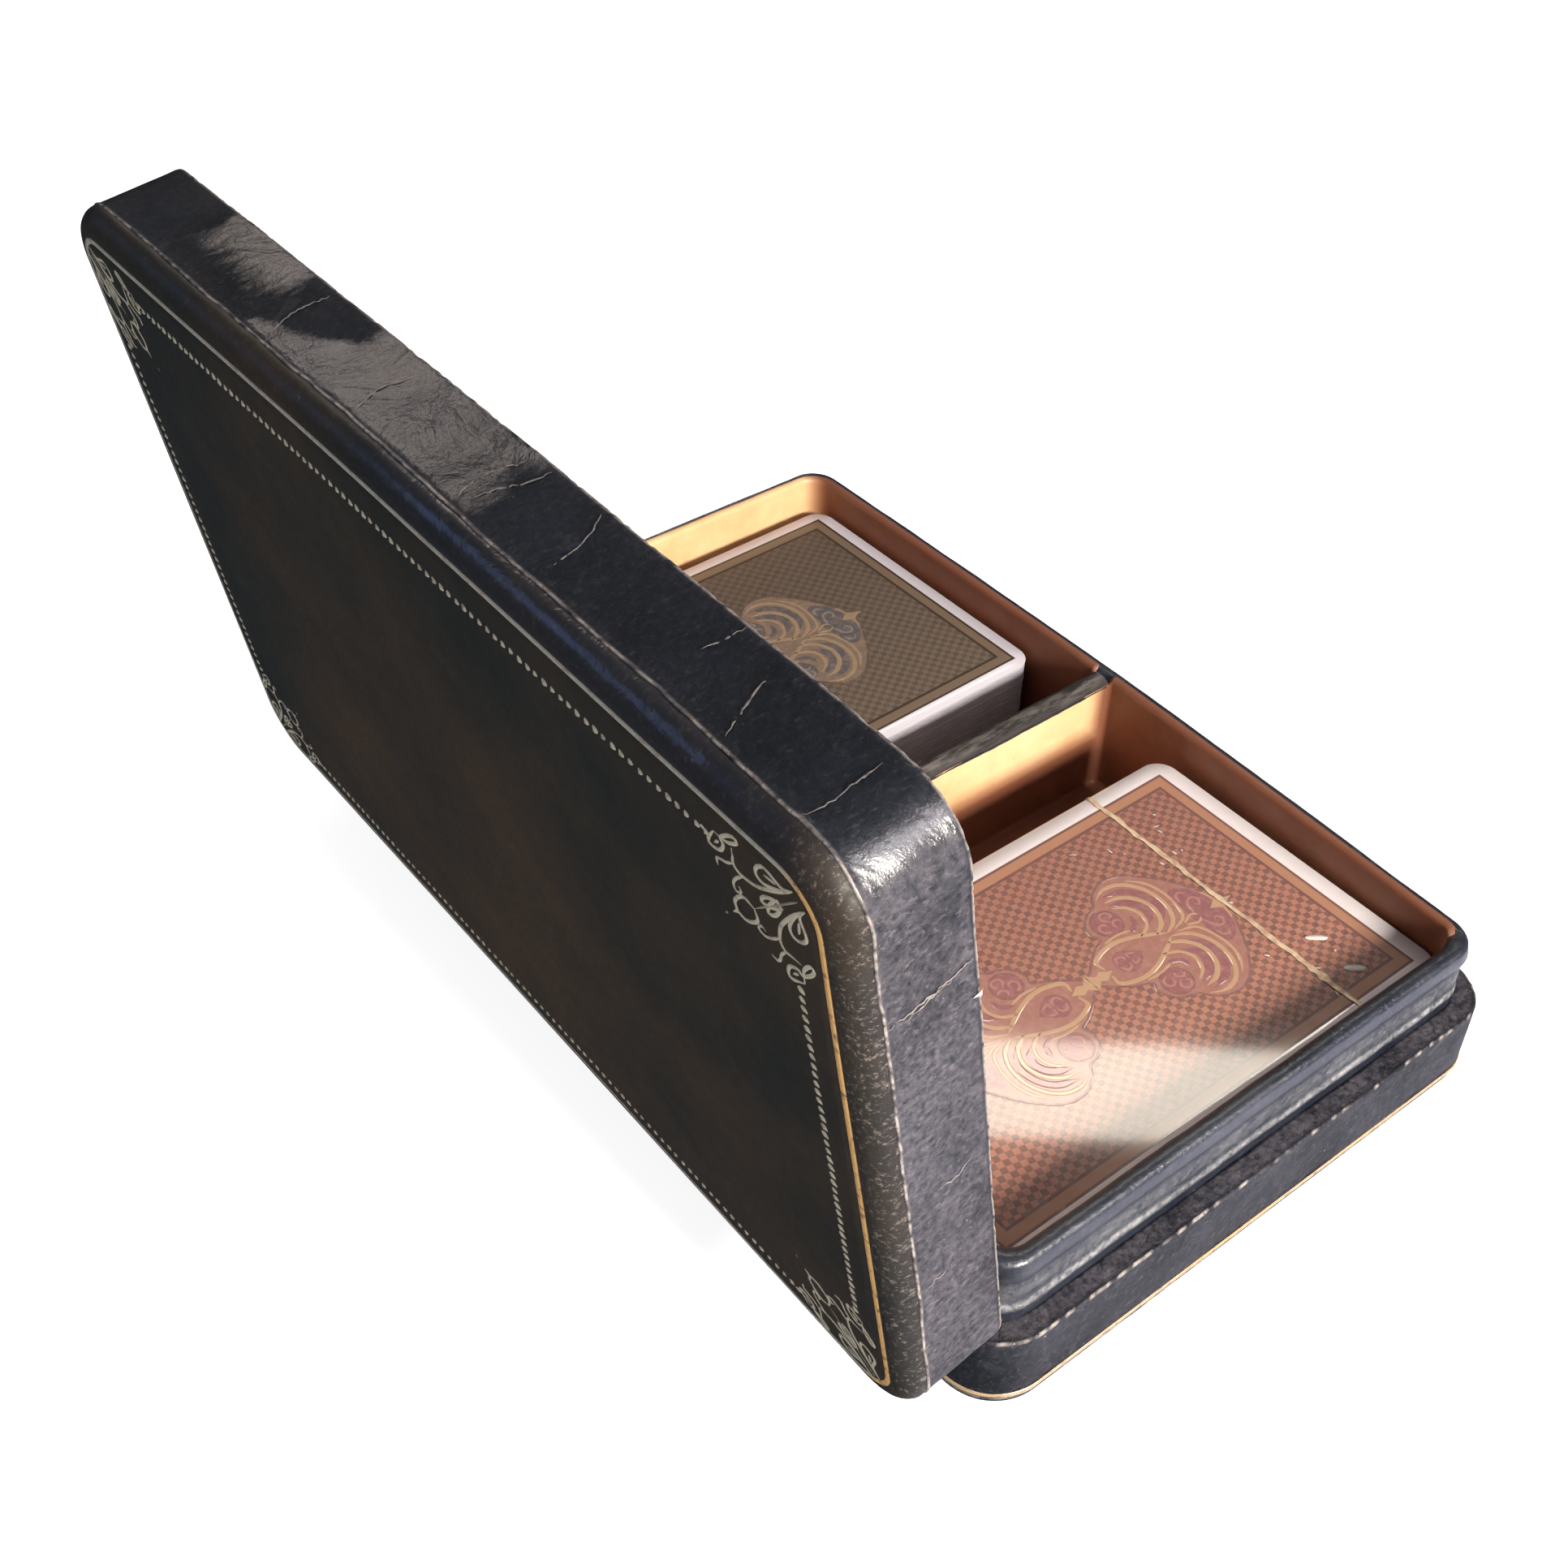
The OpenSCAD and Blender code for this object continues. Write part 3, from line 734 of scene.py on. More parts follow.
def build_cracks():
    """Fine light cracks across the lid's side strip. Most of the front runs are points picked
    on the photo and projected onto the strip by a scratch script."""
    near = -HALF_X
    runs = [  # along the front strip: (x, z) with the lid closed
        [(-59.0, 25.4), (-57.7, 22.7), (-56.5, 20.2), (-55.7, 17.6)],
        [(-70.9, 26.0), (-71.5, 25.0), (-71.6, 22.9), (-71.4, 20.2), (-71.3, 17.0)],
        [(-48.4, 20.0), (-48.7, 17.8), (-49.0, 15.1)],
        [(-28.3, 23.6), (-27.9, 20.6), (-27.0, 18.0), (-25.3, 15.6)],
        [(-12.5, 25.6), (-11.0, 21.6), (-11.7, 19.0), (-12.7, 16.6)],
        [(-13.5, 24.2), (-14.2, 21.1), (-15.6, 18.4), (-16.0, 15.7)],
        [(9.0, 25.2), (10.4, 21.0), (9.4, 17.4)], [(30.0, 24.0), (31.5, 20.5), (31.0, 16.0)]]
    paths = []
    for run in runs:
        path = smooth_path(run, 0.5)
        at = [-HALF_Y - float(bow_at(x, HALF_X - CASE_R, CASE_BOW)) - 0.09 for x, _ in path]
        paths.append(np.column_stack([path[:, 0], at, path[:, 1]]))
    for y, top, low in [(-28.2, 26.2, 15.2), (-27.4, 24.0, 18.0), (4.0, 22.0, 17.5), (22.0, 25.5, 22.0)]:
        path = smooth_path([(y, top), (y + RNG.uniform(-1, 1), (top + low) / 2), (y - 1.2, low)], 0.5)
        paths.append(np.column_stack([np.full(len(path), near - 0.09), path]))
    verts, faces = [], []
    for path in paths:
        path += 0.12 * np.array([[RNG.uniform(-1, 1) for _ in range(3)] for _ in path])
        side = np.array([0, 1.0, 0]) if path[0, 0] < near else np.array([1.0, 0, 0])
        outward = np.array([-1.0, 0, 0]) if path[0, 0] < near else np.array([0, -1.0, 0])
        for i, p in enumerate(path):
            width = 0.13 * min(1, i / 3, (len(path) - 1 - i) / 3) * RNG.uniform(0.5, 1.3)
            at = len(verts)
            verts += [p - side * width, p + outward * 0.04, p + side * width]
            if i:
                faces += [(at - 3, at - 2, at + 1, at), (at - 2, at - 1, at + 2, at + 1)]
    nick = len(verts)
    verts += [(near - 0.14, -23.9, RIM_Z + 0.05), (near - 0.14, -23.1, RIM_Z + 0.05),
              (near - 0.2, -23.7, RIM_Z + 1.3)]
    faces.append((nick, nick + 1, nick + 2))
    obj = new_object("lid_side_cracks", opened(verts), faces)
    point_attribute(obj, "raw", [0.4] * nick + [1.6] * 3)
    point_attribute(obj, "wear", np.full(len(verts), 0.6))
    paint(obj, "side")
    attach(obj, "lid")


def ribbon_ring(name, inset, z_of, width, place, height=0.06):
    """Gold line that follows the case outline at an inset."""
    profile = [(-0.5, 0.0), (-0.38, 1.0), (0.38, 1.0), (0.5, 0.0)]
    rings = []
    for across, up in profile:
        pts, _ = case_line(inset + across * width)
        z = z_of(pts, inset) + up * height
        rings.append(np.column_stack([pts, z]))
    return loft(name, place(np.array(rings).reshape(-1, 3)).reshape(len(rings), -1, 3))


def build_gold_line_lid():
    obj = ribbon_ring("lid_gold_line", GOLD_INSET, lid_top_height, LID_LINE_WIDTH, opened, 0.1)
    xs = np.array([v.co.x for v in obj.data.vertices]) / MM
    point_attribute(obj, "silver", np.clip((xs + HALF_X - 5.5) / 3, 0, 1))
    paint(obj, "gold_line")
    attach(obj, "lid")


def on_lid(points):
    """Plane points over the closed lid, laid on its top and opened with it."""
    points = np.asarray(points, float)
    inset = np.minimum(HALF_X - np.abs(points[:, 0]), HALF_Y - np.abs(points[:, 1]))
    z = np.array([lid_top_height(p[None, :2], i)[0] for p, i in zip(points, inset)])
    return opened(np.column_stack([points[:, :2], z + 0.02 + points[:, 2]]))


def build_rope_border():
    """Row of small slanted teardrops inside the gold line, from corner spray to corner spray."""
    work = Flatwork()
    half_x, half_y = HALF_X - ROPE_INSET + 0.5, HALF_Y - ROPE_INSET
    for side, half, other in ((0, half_x, half_y), (1, half_y, half_x)):
        count = int((2 * half - 2 * SPRAY_REACH) / ROPE_PITCH)
        for sign in (-1, 1):
            for i in range(count + 1):
                t = -half + SPRAY_REACH + (2 * half - 2 * SPRAY_REACH) * i / count
                t += RNG.uniform(-0.08, 0.08)
                out = sign * (other + RNG.uniform(-0.06, 0.06))
                slant = math.radians(RNG.uniform(48, 68)) + (math.pi if sign > 0 else 0)
                size = RNG.uniform(0.8, 1.05)
                x, y, angle = (t, out, slant) if side == 0 else (out, t, slant + math.pi / 2)
                work.drop(x, y, angle, 1.14 * size, 0.92 * size, 0.2)
    obj = work.build("lid_rope_border", on_lid)
    paint(obj, "gold_tooling")
    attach(obj, "lid")


def build_corner_sprays():
    """Leafy corner ornaments, one half drawn and mirrored to all corners. Its strokes follow
    points picked on the photo and projected onto the lid by a scratch script, most of them
    then moved about 1 mm."""
    half = Flatwork()
    thin, fine = 0.5, 0.4
    half.ribbon([(6.5, 5.0), (9.2, 7.3), (12.0, 9.1), (13.9, 9.6), (14.9, 9.6), (15.7, 9.0),
                 (15.6, 7.9), (15.6, 6.7)], thin)
    half.ribbon([(14.4, 9.7), (15.6, 11.0), (16.2, 12.2), (15.8, 13.0), (15.0, 12.4), (15.3, 11.8)], fine)
    half.ribbon([(6.6, 5.1), (8.1, 6.0), (9.8, 5.5), (10.9, 5.4), (11.9, 6.3), (12.1, 7.3),
                 (11.1, 7.8), (9.1, 7.0), (6.9, 5.6)], thin)
    half.ribbon([(10.8, 6.4), (9.0, 6.2)], fine)
    half.ribbon([(15.8, 9.0), (16.9, 9.8), (17.9, 10.1), (18.5, 10.6), (18.3, 11.4)], fine)
    half.ribbon([(18.3, 6.6), (19.4, 8.6), (18.8, 9.1), (17.5, 8.6), (16.9, 7.3), (17.3, 6.8),
                 (16.1, 5.5), (15.0, 4.9), (14.6, 5.3), (15.5, 6.1), (16.6, 6.6), (18.3, 6.6)],
                thin, step=0.25)
    half.ribbon([(17.6, 7.4), (18.4, 8.3)], fine)
    half.ribbon([(9.2, 8.4), (8.8, 9.3), (9.8, 11.2), (10.9, 11.8), (10.6, 10.5), (9.2, 8.4)], thin)
    half.ribbon([(13.2, 13.2), (14.9, 13.0), (16.4, 14.8), (16.3, 16.2), (17.0, 17.0)], thin)
    half.ribbon([(5.9, 5.9), (8.5, 8.5), (11.0, 11.0), (13.2, 13.2)], 0.28)
    half.drop(18.3, 18.3, math.pi / 4, 0.7, 0.3)
    half.drop(20.2, 7.6, 0.2, 0.8, 0.55)

    def lay(points):
        flat = points.copy()
        flat[:, 0] = np.sign(points[:, 0]) * (HALF_X - np.abs(points[:, 0]))
        flat[:, 1] = np.sign(points[:, 1]) * (HALF_Y - np.abs(points[:, 1]))
        return on_lid(flat)

    corners = [(1, 1), (-1, 1), (-1, -1), (1, -1)]
    obj = half.build("lid_corner_sprays", lay, corners, transpose=True)
    paint(obj, "gold_tooling")
    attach(obj, "lid")


# ---- base --------------------------------------------------------------------------------
def unmoved(points):
    return np.asarray(points, float)


def build_base_bottom():
    profile = [(3.2, 0.0, 0.3), (2.0, 0.02, 0.5), (1.2, 0.25, 0.7), (0.55, 0.75, 0.7),
               (0.2, 1.4, 0.5), (0.12, 2.0, 0.4), (0.1, 2.7, 0.3), (0.1, 3.4, 0.3)]
    rings = np.array([at_height(case_line(i), z) for i, z, _ in profile])
    obj = loft("base_bottom_panel", rings, cap_first=True)
    point_attribute(obj, "wear", np.repeat([w for _, _, w in profile], rings.shape[1]))
    paint(obj, "side")
    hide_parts("base_bottom_leather")
    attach(obj, "base")


def build_base_gold_line():
    rings, half = [], BASE_LINE_HALF
    for dz, proud in [(-half, -0.02), (-half * 0.8, 0.09), (half * 0.8, 0.09), (half, -0.02)]:
        pts, out = case_line(0)
        rings.append(at_height((pts + out * (0.1 + proud), out), BASE_LINE_Z + dz))
    obj = loft("base_gold_line", np.array(rings))
    point_attribute(obj, "silver", 0.5 + 0.4 * noise_at(np.array(rings).reshape(-1, 3), 14, 33))
    paint(obj, "gold_line")
    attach(obj, "base")


def folded_over(normals, far_end=True):
    """1 where the lining is folded over the rim: along the front, and at the far end if asked."""
    front, far = np.clip(-normals[:, 1], 0, 1), np.clip(normals[:, 0], 0, 1)
    return np.clip(np.hypot(front, far * far_end) * 2.5 - 1.3, 0, 1)


def build_collar():
    """Collar skin: a dark rolled rim over a rubbed band with a worn ridge low down. The rim's
    inner half sinks where the lining covers it."""
    mid = COLLAR_WALL / 2
    rings, wear, gloss = [], [], []
    normals = collar_line(0)[1]
    covered = folded_over(normals)

    def add(inset, z, w, g=1.0):
        rings.append(at_height(collar_line(inset), z))
        wear.append(w)
        gloss.append(g)

    for i in range(28):
        z = LEDGE_Z - 1.2 + i * 0.38
        bulge = (0.36 * math.exp(-((z - 23.4) / 1.1) ** 2) - 0.20 * math.exp(-((z - 21.3) / 0.8) ** 2)
                 + 0.22 * math.exp(-((z - 16.3) / 0.7) ** 2))
        rub = (1.0 * math.exp(-((z - 16.9) / 0.6) ** 2) + 0.36 * math.exp(-((z - 19.6) / 1.6) ** 2)
               + 0.12 * math.exp(-((z - 22.6) / 0.4) ** 2))
        add(-bulge, z, rub, 1.0 if z > 21.5 else 0.25)
    for i in range(11):
        a = math.radians(18 * i)
        inner = 0.12 + 0.3 * (1 - math.cos(a)) / 2
        sink = covered * (0.4 * min(1, max(0, (18 * i - 60) / 30)))
        add(mid - (mid + inner) * math.cos(a), COLLAR_Z - mid * 0.9 + mid * 0.9 * math.sin(a) - sink, 0.03)
        rings[-1][:, :2] += normals * (sink * 1.6)[:, None]
    for inset, z, rub in ((0.12, 0.5, 0.1), (0.06, -0.1, 0.5), (-0.3, -0.3, 0.5)):
        add(COLLAR_WALL + inset, LINING_Z + z, rub)
        rings[-1][:, :2] += normals * (covered * 0.5)[:, None]
    rings = np.array(rings)
    flat = rings.reshape(-1, 3)
    push_out(flat, normals, 0.12 * noise_at(flat, 12, 11) + 0.06 * noise_at(flat, 3, 12))
    flat[:, 2] += 0.10 * noise_at(flat, 15, 13)
    obj = loft("collar_skin", flat.reshape(rings.shape))
    point_attribute(obj, "wear", np.repeat(wear, rings.shape[1]))
    point_attribute(obj, "gloss", np.repeat(gloss, rings.shape[1]))
    paint(obj, "collar")
    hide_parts("collar_leather")
    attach(obj, "base")


def build_liner(side):
    """One compartment's lining: four walls and the floor with soft inner corners, folded over
    the rim at the front and the far end and raised to the divider's cap."""
    wall_top = extent(f"{side}_wall_lining")[1][2]
    inner_x = COLLAR_X - COLLAR_WALL
    x0, x1 = (-inner_x, -DIVIDER_HALF + 0.25) if side == "left" else (DIVIDER_HALF - 0.25, inner_x)
    y1 = COLLAR_Y - COLLAR_WALL
    outer_r, divider_r = 3.6, 0.9
    radii = ((outer_r, divider_r, divider_r, outer_r) if side == "left"
             else (divider_r, outer_r, outer_r, divider_r))

    def line(inset):
        r = [max(v - inset, 0.3) for v in radii]
        pts, out = rounded(x0 + inset, x1 - inset, -y1 + inset, y1 - inset, r, (60, 70, 8))
        lean = np.clip(-pts[:, 1] / y1, 0, 1) ** 3
        pts[:, 1] -= bow_at(pts[:, 0], inner_x - outer_r, COLLAR_BOW) * lean
        return pts, out

    start, normals = line(0)
    over = folded_over(normals, side == "right")
    inward = -1 if side == "right" else 1
    by_divider = np.clip(inward * normals[:, 0] * 3 - 1.5, 0, 1)
    lip = wall_top + by_divider * (DIVIDER_Z - 1.1 - wall_top)
    rings = []
    for i, (inset, z) in enumerate([(-1.3, -0.14), (-1.15, -0.03), (-0.9, 0.0), (-0.55, -0.06),
                                    (-0.2, -0.22), (0.0, -0.55), (0.03, -1.1)]):
        pts, _ = line(0)
        pts -= normals * (inset * over)[:, None]
        tucked = lip + 0.03 * (7 - i)
        rings.append(np.column_stack([pts, tucked + over * (COLLAR_Z + z - tucked)]))
    for t in np.linspace(0, 1, 14):
        rings.append(np.column_stack([start, lip + t * (FLOOR_Z + 0.8 - lip)]))
    for a in (20, 45, 70, 90):
        rings.append(at_height(line(0.8 * (1 - math.cos(math.radians(a)))),
                               FLOOR_Z + 0.8 - 0.8 * math.sin(math.radians(a))))
    for inset in (3, 8, 16, 26, 34):
        rings.append(at_height(line(inset), FLOOR_Z))
    rings = np.array(rings)
    flat = rings.reshape(-1, 3)
    flat += 0.05 * noise_at(flat, 7, 21 + (side == "left"))[:, None]
    obj = loft(f"{side}_compartment_lining", flat.reshape(rings.shape)[::-1], cap_first=True)
    obj.data.flip_normals()
    # painted shade: on the front wall, which faces away from the key light, and low in the compartment, where
    # decks and walls cast shadow
    lining_painted_shade = np.clip((-flat[:, 1] - y1 + 3) / 3, 0, 1) * (flat[:, 2] > FLOOR_Z + 0.1)
    lining_painted_shade = np.maximum(lining_painted_shade, np.clip((17.5 - flat[:, 2]) / 3.5, 0, 1))
    point_attribute(obj, "shade", lining_painted_shade.reshape(rings.shape[:2])[::-1])
    paint(obj, "lining")
    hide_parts(f"{side}_wall_lining", f"{side}_floor_lining")
    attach(obj, "base")


def build_divider_cap():
    """Rubbed leather folded over the divider, with loose lower edges."""
    low, high = extent("divider_leather")
    half, top = DIVIDER_HALF - 0.1, DIVIDER_Z
    profile = [(-half, top - 1.35), (-half - 0.05, top - 1.2), (-half, top - 1.0)]
    for i in range(9):
        a = math.radians(180 - 22.5 * i)
        profile.append((half * math.cos(a), top - half * 0.55 + half * 0.55 * math.sin(a)))
    profile += [(half, top - 1.0), (half + 0.05, top - 1.2), (half, top - 1.35)]
    # crest of the cap: rubbed grey, partly a painted highlight
    wear = [0.1, 0.0, 0.0, 0.0, 0.05, 0.3, 0.8, 1.0, 0.8, 0.3, 0.05, 0.0, 0.0, 0.0, 0.1]
    rows = np.linspace(low[1] + 0.15, high[1] - 0.05, 150)
    verts = np.array([(x, y, z) for y in rows for x, z in profile], float)
    verts[:, 0] += 0.10 * noise_at(verts, 2.2, 41) + 0.16 * noise_at(verts * (1, 1, 0.2), 11, 42)
    verts[:, 2] += 0.08 * noise_at(verts, 1.8, 43)
    faces = [(a, d, c, b) for a, b, c, d in grid_faces(len(rows), len(profile))]
    obj = new_object("divider_cap", verts, faces)
    point_attribute(obj, "wear", np.tile(wear, len(rows)))
    paint(obj, "divider")
    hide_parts("divider_leather")
    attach(obj, "base")


def build_hinge():
    """One leather strip glued to the base's back, passing the gap and up the lid's back."""
    base_low, base_high = extent("hinge_base_leaf")
    half = base_high[0]
    z0, back = base_low[2], base_high[1]
    path = [(back - 0.45, z0 - 0.1), (back + 0.02, z0 + 0.1)]
    path += [(back + 0.05, z) for z in np.linspace(z0 + 0.6, LEDGE_Z + 0.2, 12)]
    closed = np.array([(0.0, back + 0.05, z) for z in np.linspace(HINGE.z + 0.5, HINGE.z + 7.8, 12)]
                      + [(0.0, back + 0.02, HINGE.z + 8.2), (0.0, back - 0.45, HINGE.z + 8.35)])
    lid_side = [tuple(p[1:]) for p in opened(closed)]
    fold = [(back + 0.1, HINGE.z - 0.85), (back + 0.28, HINGE.z - 0.3), (back + 0.62, HINGE.z + 0.02)]
    path += fold + lid_side
    columns = np.linspace(-half, half, 120)
    verts = np.array([(x, y, z) for y, z in path for x in columns], float)
    verts[:, 1] += 0.05 * noise_at(verts, 6, 45)
    obj = new_object("hinge_strip", verts, grid_faces(len(path), len(columns)))
    obj.data.flip_normals()
    wear = [0.4] * 3 + [0.05] * (len(path) - 6) + [0.4] * 3
    wear[12:20] = [0.35] * 8
    point_attribute(obj, "wear", np.repeat(wear, len(columns)))
    paint(obj, "hinge")
    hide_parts("hinge_base_leaf", "hinge_lid_leaf")
    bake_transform(obj)


# ---- decks -------------------------------------------------------------------------------
class Deck:
    """Place of one deck: its centre, skew and heights, from the frame."""

    def __init__(self, side, skew_deg, wrapped):
        low, high = extent(f"{side}_card_stack")
        top = extent(f"{side}_top_card")[1][2]
        self.side, self.body, self.wrapped = side, f"{side}_deck", wrapped
        self.centre = ((low[0] + high[0]) / 2, (low[1] + high[1]) / 2)
        self.low_z, self.card_z = low[2], top
        self.turn = math.radians(skew_deg)

    def place(self, points):
        """Card coordinates (x, y from the centre, absolute z) into the row frame."""
        p = np.asarray(points, float)
        c, s = math.cos(self.turn), math.sin(self.turn)
        return np.column_stack([self.centre[0] + p[:, 0] * c - p[:, 1] * s,
                                self.centre[1] + p[:, 0] * s + p[:, 1] * c, p[:, 2]])

    def lay(self, points):
        """Flatwork on the face of the top card."""
        flat = np.asarray(points, float).copy()
        flat[:, 2] = self.card_z + 0.012 + flat[:, 2]
        return self.place(flat)


def card_outline(grow=0.0, arc=8, long_steps=10, short_steps=8):
    half_w, half_l = CARD_W / 2 + grow, CARD_L / 2 + grow
    return rounded(-half_w, half_w, -half_l, half_l, (CARD_R + grow,) * 4,
                   (short_steps, long_steps, arc))


def build_cards(deck, edge_material, print_material):
    """The pack as separate layers, a little uneven, and the printed top card."""
    outline_points, outward = card_outline()
    count = round((deck.card_z - CARD_T - deck.low_z) / CARD_T)
    rings, gap = [], []
    for i in range(count):
        z = deck.low_z + (deck.card_z - CARD_T - deck.low_z) * i / count
        slip = np.array([RNG.uniform(-0.09, 0.09), RNG.uniform(-0.09, 0.09)])
        slip[0] = min(slip[0], 0.03) if not deck.wrapped else slip[0] * 0.5
        # the third value is each ring's painted shade: full in the recess between two cards
        for inset, dz, dark in ((0.17, 0.0, 1.0), (0.06, 0.06, 0.1), (0.06, CARD_T - 0.06, 0.1)):
            rings.append(at_height((outline_points - outward * inset + slip, outward), z + dz))
            gap.append(np.full(len(outline_points), dark))
    rings.append(at_height((outline_points - outward * 0.1, outward), deck.card_z - CARD_T))
    gap.append(np.ones(len(outline_points)))
    rings = np.array(rings)
    obj = loft(f"{deck.side}_cards", deck.place(rings.reshape(-1, 3)).reshape(rings.shape),
               cap_first=True, cap_last=True)
    facet(obj)
    point_attribute(obj, "gap", np.array(gap))
    paint(obj, edge_material)
    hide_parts(f"{deck.side}_card_stack")
    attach(obj, deck.body)

    points, outward = card_outline(arc=12)
    top = []
    profile = ((0.1, -CARD_T), (0.0, -CARD_T + 0.06), (0.0, -0.07), (0.07, 0.0), (3.0, 0.0), (12.0, 0.0))
    for inset, dz in profile:
        scale = 1 - inset / np.array([CARD_W / 2, CARD_L / 2])
        top.append(at_height((points * scale, outward), deck.card_z + dz))
    top = np.array(top)
    flat = top.reshape(-1, 3)
    card = flat * (1, 1, 0)
    lifted = flat.copy()
    lifted[:, 2] += 0.05 * noise_at(card, 22, 51 + deck.wrapped) * 0.3
    obj = loft(f"{deck.side}_top_card_back", deck.place(lifted).reshape(top.shape),
               cap_first=True, cap_last=True)
    attribute = obj.data.attributes.new("card", "FLOAT_VECTOR", "POINT")
    attribute.data.foreach_set("vector", card.ravel())
    paint(obj, print_material)
    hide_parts(f"{deck.side}_top_card")
    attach(obj, deck.body)


def build_medallion(deck, ink_material, inks):
    """Scrolled medallion of the card back, one quarter drawn and mirrored twice. Its points
    were read off a straightened crop of the photo."""
    ground, line, gilt, fill, rose = inks
    q = Flatwork()
    rim = [(1.3, 0.7), (1.9, 1.6), (2.9, 2.8), (4.3, 5.0), (5.3, 7.1), (6.7, 6.6), (8.4, 7.1),
           (9.9, 8.7), (10.6, 10.9), (12.4, 12.4), (13.6, 14.7), (13.7, 17.2), (12.4, 19.9),
           (9.5, 22.7), (6.6, 24.7), (3.9, 26.2), (1.7, 27.0), (0.0, 29.2)]
    q.patch([(0.0, 0.0), *rim[:-1], (0.0, 27.6)], 0.004, ground)
    q.ribbon(rim, 0.42, 0.008, (1, 1), line)
    for path, width in [([(2.2, 17.3), (4.8, 19.1), (8.0, 18.8), (10.4, 16.9), (11.5, 13.4)], 1.5),
                        ([(3.0, 14.9), (5.4, 17.0), (8.0, 16.1), (9.6, 13.0)], 1.7),
                        ([(3.6, 11.6), (4.6, 13.6), (6.4, 14.1)], 1.0)]:
        q.ribbon(path, width, 0.010, (0.0, 0.0), fill)
    disc = [(7.1 + 2.5 * math.cos(a), 10.2 + 2.5 * math.sin(a)) for a in np.linspace(0, 6, 11)]
    q.patch(disc, 0.010, fill)
    q.patch([(0.0, 4.8), (1.7, 5.7), (2.2, 7.3), (1.3, 9.1), (0.0, 10.5)], 0.010, fill)
    q.patch([(0.0, 21.3), (2.6, 21.6), (5.6, 21.8), (6.3, 23.2), (4.8, 25.3), (2.4, 26.3), (0.0, 26.1)],
            0.010, fill)
    q.ribbon([*disc, disc[0]], 0.35, 0.014, (1, 1), line)
    for path in ([(5.5, 9.6), (5.9, 8.7), (6.8, 8.4), (7.4, 9.0), (7.1, 9.8), (6.4, 9.8)],
                 [(7.2, 10.8), (8.2, 10.0), (9.0, 10.6), (8.8, 11.7), (7.9, 11.9), (7.7, 11.2)],
                 [(5.6, 11.0), (6.4, 10.8), (7.0, 11.6), (6.5, 12.4)],
                 [(0.3, 5.6), (1.3, 6.1), (1.1, 7.1), (0.3, 7.3)], [(0.2, 8.0), (1.1, 8.0), (0.6, 9.3)],
                 [(0.4, 22.3), (1.7, 22.6), (2.9, 23.1), (3.4, 24.2), (2.5, 25.0), (1.6, 24.3), (2.2, 23.7)],
                 [(3.6, 22.3), (4.8, 22.6), (5.2, 23.6), (4.4, 24.1)]):
        q.ribbon(path, 0.55, 0.016, ink=rose)
    for path, width in [
            ([(0.7, 3.4), (2.5, 3.3), (3.5, 5.6), (3.7, 8.2), (3.0, 11.0), (1.7, 13.8), (0.3, 16.2)], 0.85),
            ([(4.4, 7.0), (4.6, 9.6), (4.1, 12.0)], 0.5),
            ([(0.3, 16.0), (1.6, 18.6), (4.2, 20.1), (7.2, 20.3), (10.0, 19.3), (12.0, 17.2),
              (12.5, 14.6), (11.6, 12.4)], 0.8),
            ([(1.0, 14.6), (2.5, 17.0), (5.2, 18.2), (8.0, 17.5), (9.9, 15.5), (10.4, 13.0)], 0.85),
            ([(2.2, 12.4), (3.4, 14.9), (5.6, 15.7), (7.8, 14.8), (8.9, 13.0)], 0.65),
            ([(0.3, 17.6), (1.2, 20.3), (3.6, 21.4), (6.8, 21.7), (9.6, 20.9), (11.8, 19.0)], 0.55),
            ([(0.2, 19.6), (0.9, 21.6), (0.3, 22.6)], 0.5), ([(0.9, 26.9), (2.5, 26.6), (3.4, 26.1)], 0.4)]:
        q.ribbon(path, width, 0.018, ink=gilt)
    q.patch([(0.0, 4.2), (0.45, 3.2), (1.0, 2.2), (0.5, 1.3), (1.7, 0.0), (0.0, 0.0)], 0.016, gilt, step=0.8)
    q.patch([(0.0, 25.0), (0.7, 26.2), (1.1, 27.1), (0.5, 28.0), (0.0, 29.6)], 0.016, gilt, step=0.6)
    obj = q.build(f"{deck.side}_card_medallion", deck.lay, [(1, 1), (-1, 1), (-1, -1), (1, -1)])
    facet(obj)
    paint(obj, ink_material)
    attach(obj, deck.body)


